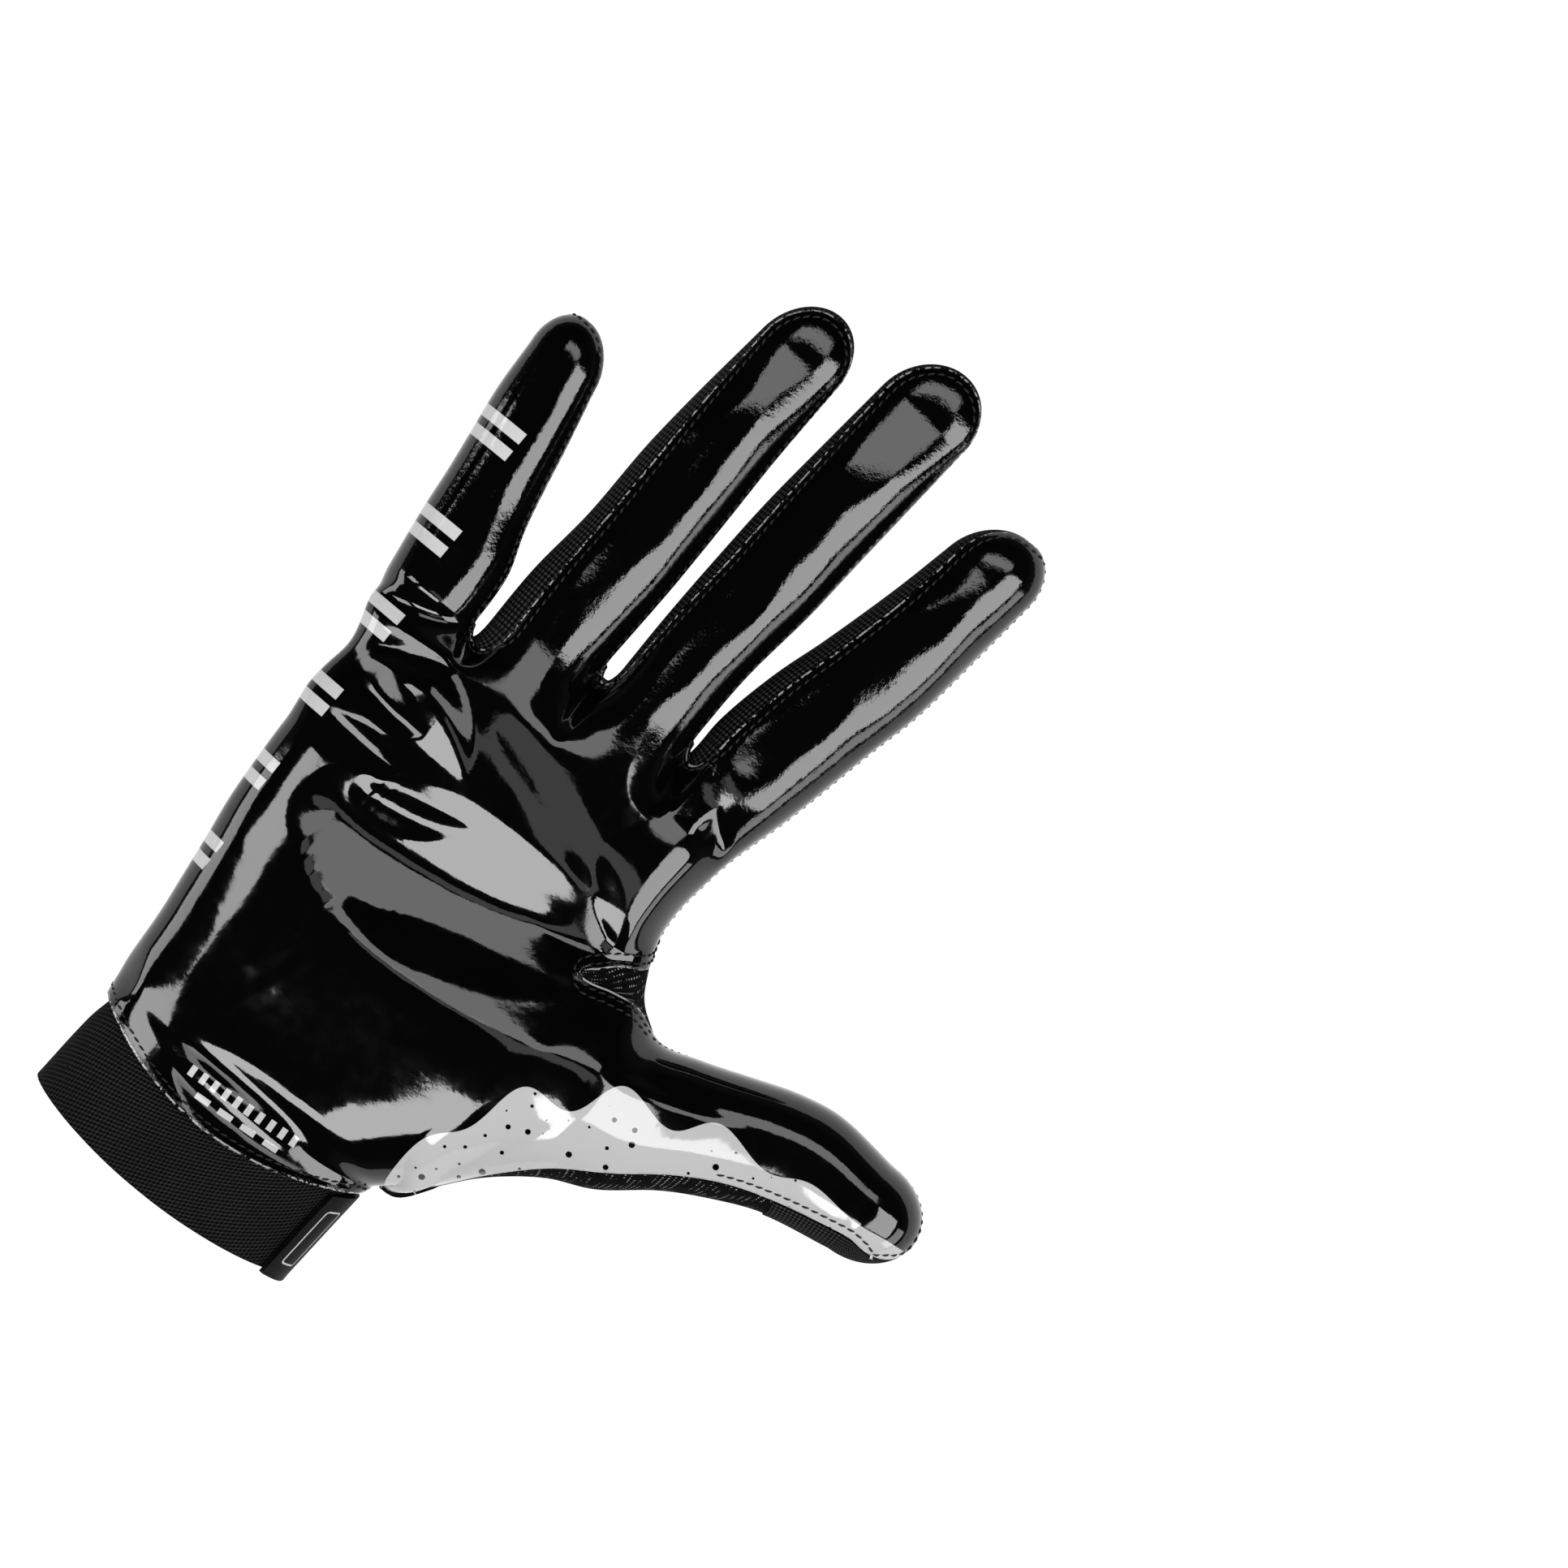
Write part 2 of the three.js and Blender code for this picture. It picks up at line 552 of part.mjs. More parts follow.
function sheetGeometry(faces, thickness) {
  const { points, normals, indexed } = weld(faces);
  const inner = points.map((point, i) => point.clone().addScaledVector(normals[i], -thickness));
  const count = points.length;
  const triangles = [];
  const edges = new Map();
  for (const face of indexed) {
    const [a, b, c, d] = face;
    triangles.push(a, b, c, a, c, d);
    triangles.push(count + a, count + c, count + b, count + a, count + d, count + c);
    face.forEach((from, i) => edges.set(`${from}_${face[(i + 1) % 4]}`, [from, face[(i + 1) % 4]]));
  }
  for (const [from, to] of edges.values()) {
    if (edges.has(`${to}_${from}`)) continue;
    triangles.push(to, from, count + from, to, count + from, count + to);
  }
  const geometry = new THREE.BufferGeometry();
  const positions = [...points, ...inner].flatMap((point) => [point.x, point.y, point.z]);
  geometry.setAttribute('position', new THREE.Float32BufferAttribute(positions, 3));
  geometry.setIndex(triangles);
  return geometry;
}

// Pieces

function handFaces(panel) {
  const flip = panel === 'back';
  const rows = steps(0, KNUCKLE_ROW, KNUCKLE_ROW);
  const columns = steps(0, COLUMNS, COLUMNS);
  const faces = patch(rows, columns, (row, column) => palmPoint(panel, row, column), flip);
  const along = [...steps(0, 1, FINGER_STEPS), ...steps(1, 2, TIP_STEPS).slice(1)];
  const across = steps(-1, 1, FINGER_COLUMNS);
  for (const finger of FINGERS) {
    faces.push(...patch(along, across, (v, u) => fingerPoint(finger, panel, u, v), flip));
  }
  return faces;
}

function thumbFaces(panel, along) {
  const across = steps(-1, 1, WEB_ROW - THUMB_FIRST_ROW);
  return patch(along, across, (v, u) => thumbPoint(panel, u, v), panel === 'palm');
}

function palmPanel() {
  const along = [...steps(0, 1, THUMB_STEPS), ...steps(1, 2, TIP_STEPS).slice(1)];
  return sheetGeometry([...handFaces('palm'), ...thumbFaces('palm', along)], PANEL_THICK);
}

function backPanel() {
  return sheetGeometry(handFaces('back'), PANEL_THICK);
}

const THUMB_TIP_FROM = 0.81;

function thumbBack() {
  const along = steps(THUMB_SEAM.root, THUMB_TIP_FROM - THUMB_SEAM.tip, THUMB_STEPS);
  return sheetGeometry(thumbFaces('back', along), PANEL_THICK);
}

function thumbTipBack() {
  const along = [...steps(THUMB_TIP_FROM, 1, 2), ...steps(1, 2, TIP_STEPS).slice(1)];
  return sheetGeometry(thumbFaces('back', along), PANEL_THICK);
}

// Azimuths of the panel edges' vertices round a tip, from straight ahead to the side
function tipAzimuths() {
  const shares = steps(0, 1, TIP_STEPS);
  const azimuths = shares.map((share) => Math.atan2(share, Math.sqrt(2 - share * share)));
  return [...azimuths, ...azimuths.slice(0, -1).reverse().map((azimuth) => Math.PI / 2 - azimuth)];
}
const TIP_AZIMUTHS = tipAzimuths();

// Side strip from the tip of one finger down to the crotch and up to the tip of the next.
// t is 0 to 1 down the first finger's side, to 2 round the crotch and to 3 up the next finger's side.
function fourchettePoint(index, t, q) {
  const left = FINGERS[index];
  const right = FINGERS[index + 1];
  if (t < 1) {
    const gap = lerp(SEAM_GAP, CROTCH_GAP, ease((t - 1) / CROTCH_GAP_REACH + 1));
    return fingerSidePoint(left, 1, lerp(left.tipStart, left.baseHigh, t), null, q, gap);
  }
  if (t <= 2) return crotchPoint(index, t - 1, q, CROTCH_GAP);
  const gap = lerp(CROTCH_GAP, SEAM_GAP, ease((t - 2) / CROTCH_GAP_REACH));
  return fingerSidePoint(right, -1, lerp(right.baseLow, right.tipStart, t - 2), null, q, gap);
}

// The outer strips run on past the tip, to where the palm panel closes on the back panel
function fourchette(index) {
  const across = steps(0, 1, STRIP_ACROSS);
  const past = [...TIP_AZIMUTHS.slice(1, 3)].reverse().map((azimuth) => -azimuth);
  const outer = [...past, ...TIP_AZIMUTHS];
  const inner = [TIP_CLEARANCE, ...TIP_AZIMUTHS.slice(1)];
  const roundTip = (finger, side, azimuths) => patch(
    azimuths,
    across,
    (azimuth, q) => fingerSidePoint(finger, side, finger.tipStart, side * azimuth, q, SEAM_GAP),
    side > 0,
  );
  const along = [
    ...steps(0, 1, FINGER_STEPS),
    ...steps(1, 2, CROTCH_COLUMNS).slice(1),
    ...steps(2, 3, FINGER_STEPS).slice(1),
  ];
  const faces = patch(along, across, (t, q) => fourchettePoint(index, t, q), true);
  faces.push(...roundTip(FINGERS[index], 1, index === 0 ? outer : inner));
  faces.push(...roundTip(FINGERS[index + 1], -1, index === CROTCHES.length - 1 ? outer : inner));
  return sheetGeometry(faces, STRIP_THICK);
}

// Point on the straight edges that a panel's mesh has along the notch
function onChord(share, pointAt) {
  const count = NOTCH_END_ROW - WEB_ROW;
  const i = Math.min(Math.floor(share * count), count - 1);
  return pointAt(i / count).lerp(pointAt((i + 1) / count), share * count - i);
}

// Knit triangle: v runs from the notch's end on the palm side, -1, over the web, 0, to the back, 1
function gussetPoint(v, u) {
  const panel = v <= 0 ? 'palm' : 'back';
  const out = 1 - Math.abs(v);
  const notchRow = (share) => lerp(WEB_ROW, NOTCH_END_ROW, share);
  const palmEdge = onChord(out, (share) => palmPoint(panel, notchRow(share), COLUMNS));
  const thumbEdge = onChord(out, (share) => thumbPoint(panel, 1, GUSSET.thumbEnd * share));
  const width = palmEdge.distanceTo(thumbEdge);
  const inset = Math.min(GUSSET.gap / width, GUSSET.mostGap);
  const point = palmEdge.clone().lerp(thumbEdge, lerp(inset, 1 - inset, u));
  const sag = GUSSET.sag * out * Math.sin(Math.PI * u) ** 2;
  point.x -= sag * Math.SQRT1_2;
  point.y -= sag * Math.SQRT1_2;
  point.z += (panel === 'palm' ? -1 : 1) * GUSSET.tuck * (1 - ease(out));
  return point;
}

function webGusset() {
  const rows = NOTCH_END_ROW - WEB_ROW;
  const along = steps(-1, 1, 2 * rows);
  along[0] += GUSSET.start;
  along[2 * rows] -= GUSSET.start;
  const faces = patch(along, steps(0, 1, GUSSET.across), gussetPoint);
  return sheetGeometry(faces, STRIP_THICK);
}

// Cuff: angle from straight up, share from the tucked edge to the rim, grown outwards by a margin
function cuffSeamY(angle) {
  const out = rounded(Math.sin(angle), PALM_POWER);
  const edge = PALM_ROWS[0];
  const bow = edge.bow * (Math.cos(angle) >= 0 ? 1 : BACK_BOW);
  return (edge.yLeft + edge.yRight) / 2 + bow * (1 - out * out);
}

function cuffRimY(angle) {
  const out = rounded(Math.sin(angle), PALM_POWER);
  const bow = Math.cos(angle) >= 0 ? CUFF_RIM.palmBow : CUFF_RIM.backBow;
  return CUFF_RIM.side + bow * (1 - out * out);
}

function cuffSurface(y, angle, margin, floor) {
  const tuckY = cuffSeamY(angle) + CUFF_TUCK;
  const share = (tuckY - y) / (tuckY - cuffRimY(angle));
  const section = readSection(CUFF_SECTIONS, 'share', share);
  const out = rounded(Math.sin(angle), PALM_POWER);
  const up = rounded(Math.cos(angle), PALM_POWER);
  const centre = (section.left + section.right) / 2;
  const half = (section.right - section.left) / 2 + margin;
  const top = section.top + margin;
  const bottom = section.bottom - margin;
  const height = up >= 0 ? lerp(CUFF_SIDE_HEIGHT, top, up) : lerp(CUFF_SIDE_HEIGHT, bottom, -up);
  return new THREE.Vector3(centre + half * out, y, Math.max(height, floor));
}

function wristCuff() {
  const faces = patch(steps(0, 1, CUFF_ROWS), steps(0, CUFF_COLUMNS, CUFF_COLUMNS), (share, column) => {
    const angle = 2 * Math.PI * (column % CUFF_COLUMNS) / CUFF_COLUMNS;
    const y = lerp(cuffSeamY(angle) + CUFF_TUCK, cuffRimY(angle), share);
    return cuffSurface(y, angle, 0, CUFF_FLOOR);
  }, true);
  return sheetGeometry(faces, CUFF_THICK);
}

function closureStrap() {
  const margin = STRAP.gap + STRAP_THICK;
  const columns = steps(degToRad(STRAP.from), degToRad(STRAP.to), STRAP.columns);
  const faces = patch(steps(0, 1, STRAP.rows), columns, (share, angle) => {
    const y = lerp(cuffSeamY(angle) - STRAP.upperGap, STRAP.lowerEdge, share);
    return cuffSurface(y, angle, margin, GROUND);
  }, true);
  return sheetGeometry(faces, STRAP_THICK);
}

// Materials and the finished glove

function finish(color, roughness) {
  return new THREE.MeshStandardMaterial({ color, roughness, metalness: 0 });
}
const coatedFilm = finish(0x0b0b0c, 0.12);
const meshFabric = finish(0x1b1c1e, 0.85);
const speckledKnit = finish(0x2c2d2f, 0.9);
const wovenElastic = finish(0x26272a, 0.9);
const satin = finish(0x151618, 0.5);

const glove = new THREE.Group();
glove.name = 'football_glove';

function addPiece(name, geometry, material) {
  const mesh = new THREE.Mesh(geometry, material);
  mesh.name = name;
  glove.add(mesh);
}

addPiece('palm_panel', palmPanel(), coatedFilm);
addPiece('back_panel', backPanel(), meshFabric);
CROTCHES.forEach((crotch, index) => addPiece(`fourchette_${crotch.name}`, fourchette(index), meshFabric));
addPiece('web_gusset', webGusset(), speckledKnit);
addPiece('thumb_back', thumbBack(), speckledKnit);
addPiece('thumb_tip_back', thumbTipBack(), meshFabric);
addPiece('wrist_cuff', wristCuff(), wovenElastic);
addPiece('closure_strap', closureStrap(), satin);

export default glove;
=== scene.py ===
"""Looks of a football glove that lies palm up: fine panels, seams, weaves, prints and light.

Sizes are in millimetres until a mesh is made. +Y runs to the fingertips, +X to the thumb, +Z up.
"""
import json
import math
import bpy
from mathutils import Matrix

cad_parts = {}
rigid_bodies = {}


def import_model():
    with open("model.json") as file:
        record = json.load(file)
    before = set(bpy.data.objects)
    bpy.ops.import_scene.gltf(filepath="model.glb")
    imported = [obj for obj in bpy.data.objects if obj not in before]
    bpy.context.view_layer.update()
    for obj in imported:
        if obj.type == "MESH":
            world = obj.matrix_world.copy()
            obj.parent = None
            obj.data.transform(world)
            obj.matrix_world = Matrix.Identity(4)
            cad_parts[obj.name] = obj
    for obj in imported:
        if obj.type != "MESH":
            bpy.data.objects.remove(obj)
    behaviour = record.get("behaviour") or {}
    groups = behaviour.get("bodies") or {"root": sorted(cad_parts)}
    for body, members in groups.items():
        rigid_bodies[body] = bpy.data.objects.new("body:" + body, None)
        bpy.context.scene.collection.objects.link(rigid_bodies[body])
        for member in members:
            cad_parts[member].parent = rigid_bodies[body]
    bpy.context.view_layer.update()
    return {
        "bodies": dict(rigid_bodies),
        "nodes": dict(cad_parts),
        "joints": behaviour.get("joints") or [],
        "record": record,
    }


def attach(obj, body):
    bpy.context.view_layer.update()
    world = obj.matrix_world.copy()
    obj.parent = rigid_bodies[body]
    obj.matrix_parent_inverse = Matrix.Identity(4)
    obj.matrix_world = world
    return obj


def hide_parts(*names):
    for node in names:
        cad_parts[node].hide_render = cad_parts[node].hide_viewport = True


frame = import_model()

from types import SimpleNamespace

import bpy
import numpy as np
from mathutils import Matrix, Vector
from mathutils.bvhtree import BVHTree
from mathutils.kdtree import KDTree

BODY = "root"
MM = 0.001

# Walls and laps
PANEL_THICK = 0.9
STRIP_THICK = 0.8
CUFF_THICK = 1.8
STRAP_THICK = 1.1
PANEL_LIFT = 0.15
BACK_LIFT = 0.05
STRIP_SINK = 0.5
UNDERLAP = 1.3
GROUND = 0.0

# Roundness of the cross-sections: 2 is an ellipse, more is boxier
LOBE_POWER = 2.3
PALM_POWER = 2.6

# Mesh steps: fine faces for each column and row of the panels, and for each finger and tip
FINE_COLUMNS = 5
FINE_ROWS = 8
FINGER_COLUMNS = 6
CROTCH_COLUMNS = 3
FINGER_ROWS = 110
TIP_ROWS = 22
THUMB_ROWS = 120
THUMB_KNIT_ROWS = 96
THUMB_MESH_ROWS = 24
DENSE = 900
WELD = 0.0005
WELD_SHIFT = 0.237

# Sharpness of the curves' bends, the two steps of a smoothing round, and the step that reads a slope
CURVE_SHARPNESS = 5
SMOOTHING = (0.5, -0.52)
SLOPE_STEP = 0.03


def hermite(start, slope_start, end, slope_end, t):
    t2, t3 = t * t, t * t * t
    return ((2 * t3 - 3 * t2 + 1) * start + (t3 - 2 * t2 + t) * slope_start
            + (3 * t2 - 2 * t3) * end + (t3 - t2) * slope_end)


def soften(values, reach):
    """Mean of each value's neighbours, weighted by a bell curve, with straight ends."""
    offsets = np.arange(-3 * reach, 3 * reach + 1)
    weights = np.exp(-(offsets / reach) ** 2)
    start = 2 * values[0] - values[3 * reach:0:-1]
    end = 2 * values[-1] - values[-2:-3 * reach - 2:-1]
    padded = np.concatenate([start, values, end])
    return np.convolve(padded, weights / weights.sum(), mode="valid")


def smooth_curves(columns, rows):
    """Smooth curves through the rows of a table, sampled finely along its first column."""
    table = dict(zip(columns, np.array(rows, float).T))
    knots = table[columns[0]]
    places = np.linspace(knots[0], knots[-1], DENSE)
    i = np.clip(np.searchsorted(knots, places, side="right") - 1, 0, len(knots) - 2)
    step = knots[i + 1] - knots[i]
    t = (places - knots[i]) / step
    reach = max(2, DENSE // (len(knots) * CURVE_SHARPNESS))
    curves = {}
    for name, values in table.items():
        before = np.clip(np.arange(len(knots)) - 1, 0, None)
        after = np.clip(np.arange(len(knots)) + 1, None, len(knots) - 1)
        slopes = (values[after] - values[before]) / (knots[after] - knots[before])
        curve = hermite(values[i], slopes[i] * step, values[i + 1], slopes[i + 1] * step, t)
        curves[name] = curve if name == columns[0] else soften(curve, reach)
    return curves


def lobe(rows, tip_back=125, turn_low=90, turn_high=90, **others):
    columns = ("at", "low", "high", "palm_low", "palm_high", "back_low", "back_high", "side", "top",
               "bottom")
    return SimpleNamespace(curves=smooth_curves(columns, rows), tip_start=rows[-1][0],
                           tip_back=tip_back, turn_low=turn_low, turn_high=turn_high, **others)


# Each lobe is a finger or the thumb. at is the place along it, low and high are its silhouette edges
# across it, the palm and back angles are where those panels end, in degrees from straight up, and side,
# top and bottom are the heights of its silhouette, crown and underside. tip_palm and tip_back are the
# panels' angles at the very tip, and turn_low and turn_high say how far round the tip they fade out.
PINKY = lobe([
    (44, -51.1, -29.6, 118, 72, 122, 125, 12, 23, -1.5),
    (60, -53.6, -30.4, 118, 72, 122, 125, 11.5, 21.2, -1.5),
    (70, -54.8, -33.8, 118, 72, 122, 125, 11, 20.4, -1),
    (80, -56.3, -36.2, 118, 72, 122, 125, 10.5, 19.9, 0),
    (90, -57.7, -38.3, 118, 72, 122, 125, 11, 19.6, 1),
    (101.5, -58.3, -41.1, 118, 74, 122, 125, 12, 19.2, 3),
], tip_end=112.4, base_low=46, base_high=50.5, tip_palm=75, turn_low=44)
RING = lobe([
    (48, -28.2, -3.4, 27, 76, 125, 125, 12.5, 25.4, -1.5),
    (65, -28.2, -2.9, 30, 78, 125, 125, 12, 23.6, -1.5),
    (81, -26.7, -2.5, 36, 78, 125, 125, 11.5, 22.1, -1),
    (100, -26.4, -2.6, 37, 78, 125, 125, 11, 21.4, 0),
    (115, -25.2, -2.7, 43, 76, 125, 125, 11.5, 21.9, 1),
    (134, -23.1, -2.1, 56, 72, 125, 125, 13, 19.2, 3.5),
], tip_end=147, base_low=50.5, base_high=61, tip_palm=58)
MIDDLE = lobe([
    (56, -0.4, 21.1, 57, 76, 125, 125, 12.5, 25.4, -1.5),
    (75, -0.5, 21.3, 48, 78, 125, 125, 12, 23.6, -1.5),
    (94, 0, 23.4, 44, 78, 125, 125, 11.5, 22.1, -0.5),
    (107, 0.6, 24.2, 45, 78, 125, 125, 11, 21.6, 0),
    (123, 2.1, 25.4, 50, 76, 125, 125, 12, 22.1, 1.5),
    (141, 3.9, 26.8, 57, 73, 125, 125, 14, 18.9, 4.5),
], tip_end=153.9, base_low=61, base_high=60.5, tip_palm=62)
INDEX = lobe([
    (56, 22, 46.3, 36, 95, 125, 98, 13, 24.9, -1.5),
    (65, 21.9, 48.3, 36, 95, 125, 98, 12.5, 23.7, -1.5),
    (80, 24.8, 51.3, 38, 95, 125, 98, 12, 22.5, -1),
    (92, 28.4, 54, 39, 95, 125, 98, 11.5, 22, -0.5),
    (110, 33.1, 56, 40, 95, 125, 98, 12, 22.8, 1),
    (123.5, 36, 57.3, 46, 94, 125, 97, 13, 21.6, 3),
], tip_end=135.6, base_low=60.5, base_high=58, tip_palm=66, tip_back=118, turn_high=44)
THUMB = lobe([
    (30, -56, 12, 76, 50, 78, 130, 17, 36, -2),
    (37, -50.6, 13.5, 70, 50, 72, 130, 17, 35.6, -2),
    (45, -40.6, 13, 65, 54, 67, 127, 17, 34.6, -1),
    (54.6, -32.2, 5.4, 49, 86, 51, 92, 17.5, 32.5, 0.5),
    (65, -27, 7.9, 38, 112, 41, 117, 17.5, 30.5, 2),
    (75, -19, 11.7, 36, 115, 39, 118, 17, 29.5, 3),
    (85, -13.2, 15.4, 35, 115, 38, 118, 16.5, 28.5, 3.5),
    (95, -8.8, 17.3, 38, 115, 41, 118, 16, 27.5, 4),
    (110, -5.6, 16, 30, 112, 33, 115, 15, 26.6, 4.5),
], tip_end=123.3, tip_palm=80, tip_back=83, turn_low=80, turn_high=80)
FINGERS = (PINKY, RING, MIDDLE, INDEX)
LEAN_REACH = 10

# How far along the thumb it still takes part of its place and height from the palm, the share of the
# palm's width that this reaches, and how far across on the wrist's side its panels meet at the side seam
BLEND_ACROSS = 0.1
BLEND_UP = 0.28
BLEND_REACH = 0.97
BLEND_SEAM = 0.7

# Cross-sections of the palm from the cuff seam to below the knuckles. y_left and y_right are where the
# section meets its two edges and bow pulls its middle down. left is the heel's silhouette, reach the
# thumb side's, and turn the angle where the section stops. heel, middle and ball are crown heights.
PALM = smooth_curves(("row", "y_left", "y_right", "bow", "left", "reach", "turn", "side",
                      "heel", "middle", "ball"), [
    (0, -58.8, -58, -8.5, -40, 27.5, 95, 17, 33.9, 35.4, 34.4),
    (1, -54.6, -56.5, -6, -40.6, 28.2, 94, 17, 33.2, 34.4, 33.6),
    (2, -50, -54.4, -3.5, -41.3, 29.4, 93, 17, 32, 33, 33.5),
    (3, -40, -46, -1, -42, 40, 45, 17, 32.5, 32, 34.5),
    (4, -31, -36.5, 0, -43.2, 50, 31, 17, 33, 31.6, 35.6),
    (5, -21, -25.5, 0, -44.6, 54, 28, 17, 33, 31.2, 36.2),
    (6, -12, -14, 0, -46, 55, 28.4, 17, 32.5, 30.6, 35.4),
    (7, -3, -3, 0, -46.8, 54, 30.2, 16.5, 31.5, 29.8, 33.4),
    (8, 5, 6.6, 0, -47.3, 51, 34.5, 16, 30.5, 29, 31.2),
    (9, 9, 9.4, 0, -47.5, 48, 43.7, 15.5, 30, 28.8, 30.2),
    (10, 13, 13.2, 0, -48.1, 45.5, 58.6, 15, 29.5, 28.8, 29.5),
    (11, 17, 16.9, 0, -48.6, 43.6, 92, 15, 29, 28.8, 29),
    (12, 22, 22.5, 0, -48.3, 41.6, 95, 14.5, 28.8, 29.2, 28.8),
    (13, 29.5, 30, 0, -47.5, 41.2, 95, 14, 28.4, 29.4, 28.6),
    (14, 38, 39, 0, -50, 42.2, 95, 13.5, 27, 28.8, 28),
])
CROWN_REACH = 0.75
PALM_BOTTOM = -3
PALM_LAST = 14
KNUCKLE_ROW = 17
THUMB_FIRST_ROW = 2
WEB_ROW = 8
NOTCH_END_ROW = 11
HEEL_PALM = 118
HEEL_BACK = 121
SIDE_SEAM_STEP = 3
BACK_BOW = 0.3
COLUMN_SHARES = np.array([0, 0.228, 0.304, 0.51, 0.56, 0.772, 0.859, 1])
THUMB_TIP_FROM = 0.81
THUMB_LAP = 0.01

# Crotches between neighbouring fingers: name, how far each reaches below the finger bases on the palm
# and on the back, and its swell between them
CROTCHES = (
    ("pinky_ring", 5.6, 4.6, 2.2),
    ("ring_middle", 5.2, 4.4, 1.8),
    ("middle_index", 6.4, 5.0, 2.2),
)

# Folds of the palm side: x0, y0, xm, ym, x1, y1, left, right, rise, grow0 and grow1. Each is a bent line
# over three points. left and right are the widths of its two flanks, seen from its start. A ridge has a
# positive rise, a valley a negative one. grow0 and grow1 scale it at its ends, flanks and all.
FOLDS = [
    (-26, 1.5, -4, 2.5, 34, 12.5, 15.5, 18, -3.5, 0.5, 0.5),
    (-14, -13, 8, -18, 49, -7, 13, 48, 2.8, 0.1, 0.75),
    (-16, 37, 10, 29, 37, 18.5, 4, 4, -0.3, 0, 0),
    (-24, 7.5, -13, 9.5, -2, 15, 3, 3, -0.7, 0.8, 0),
    (-52, 40, -42, 41, -27, 45, 5, 5, -1.6, 1, 0.2),
    (-50, 30, -38, 33, -26, 38, 4, 6, -1.8, 1, 0),
    (-49, 24, -36, 24, -22, 24, 5, 5, -2.0, 1, 0),
    (-49, 19, -36, 15, -22, 15, 5, 6, -1.4, 1, 0),
    (-39, 29.5, -26, 31, -11, 23, 5, 8.5, 1.6, 0.4, 0.1),
    (33, 44, 37, 45, 41, 47, 5, 5, -1.5, 0, 0),
    (36, 15, 36.5, 28, 36.5, 43, 14, 5, 3, 0.15, 0.5),
    (-46, -50, -41, -53, -35, -57, 4, 6, -1.8, 1, 0),
    (-22, -55, 2, -55, 26, -56, 3, 3, -1.3, 0, 0.5),
    (-20, -60, 2, -62, 26, -57, 4, 4, -1.6, 0, 0.4),
]
FOLD_FLANK = 1.3
FOLD_ROUND = 1.8
FOLD_STEPS = 14
FOLD_LEAST_SCALE = 0.01
FOLD_SIDE_BLEND = 30
FOLDS_LOW = 14
FOLDS_HIGH = 26

# Slack of the film: waves with their length in mm, heading in degrees, phase in radians and height in mm.
# They are flatter on the palm than on the fingers.
SLACK = [
    (20, 18, 0.3, 0.2),
    (14, -22, 1.9, 0.11),
    (10, 28, 4.2, 0.06),
    (7, -25, 2.6, 0.03),
]
SLACK_ON_PALM = 0.12
SLACK_FROM = 40.0
SLACK_GROWTH = 18.0

# Knit triangle at the web, the web's middle, and the middle of the film's edge round it
GUSSET_THUMB_END = 3 / 11
GUSSET_LAP = 1.2
GUSSET_SAG = 1.6
GUSSET_SINK = 0.7
WEB_PLACE = (38.0, 6.0)
WEB_EDGE = (40.0, 6.0, 24.0)

# Elastic band, from the edge tucked inside the panels to the free rim
CUFF = smooth_curves(("share", "left", "right", "top", "bottom"), [
    (0, -38.3, 25.7, 31.4, -1),
    (0.16, -38.3, 25.7, 32.9, -1),
    (0.4, -39.5, 25.3, 34.6, -1),
    (1, -40.4, 24.4, 37, -2),
])
CUFF_SIDE_HEIGHT = 17.3
CUFF_TUCK = 3.5
CUFF_FLOOR = 2.0
CUFF_RIM_SIDE = -81.3
CUFF_RIM_PALM_BOW = -3.4
CUFF_RIM_BACK_BOW = 1.0
STRAP_FROM = 58
STRAP_TO = 212
STRAP_UPPER_GAP = 1.0
STRAP_LOWER_EDGE = -82.6
STRAP_LIFT = 1.95


# Curves and surfaces

def lerp(a, b, t):
    return a + (b - a) * t


def ease(t):
    t = np.clip(t, 0, 1)
    return t * t * (3 - 2 * t)


def rounded(value, power):
    return np.sign(value) * np.abs(value) ** (2 / power)


def unrounded(value, power):
    return np.arcsin(np.sign(value) * np.minimum(np.abs(value), 1) ** (power / 2))


def height_at(up, side, top, bottom, floor=GROUND):
    """Height on a rounded section, where up runs from -1 at its underside to 1 at its crown."""
    return np.maximum(np.where(up >= 0, lerp(side, top, up), lerp(side, bottom, -up)), floor)


def read(curves, name, value):
    """Reads a curve at a value of the first one."""
    return np.interp(value, next(iter(curves.values())), curves[name])


def xyz(x, y, z):
    return np.stack(np.broadcast_arrays(x, y, z), axis=-1).astype(float)


def unit(vectors):
    return vectors / np.maximum(np.linalg.norm(vectors, axis=-1, keepdims=True), 1e-12)


def running(steps):
    """Running totals, from 0."""
    return np.concatenate([[0], np.cumsum(steps)])


def run(start, end, count):
    return np.linspace(start, end, int(round(count)) + 1)


def lobe_read(shape, name, at):
    return read(shape.curves, name, at)


def tip_lean(shape):
    """Sideways drift of a lobe's middle line over its tip."""
    ends = np.array([shape.tip_start - LEAN_REACH, shape.tip_start])
    sums = lobe_read(shape, "low", ends) + lobe_read(shape, "high", ends)
    return (sums[1] - sums[0]) / 2 / LEAN_REACH


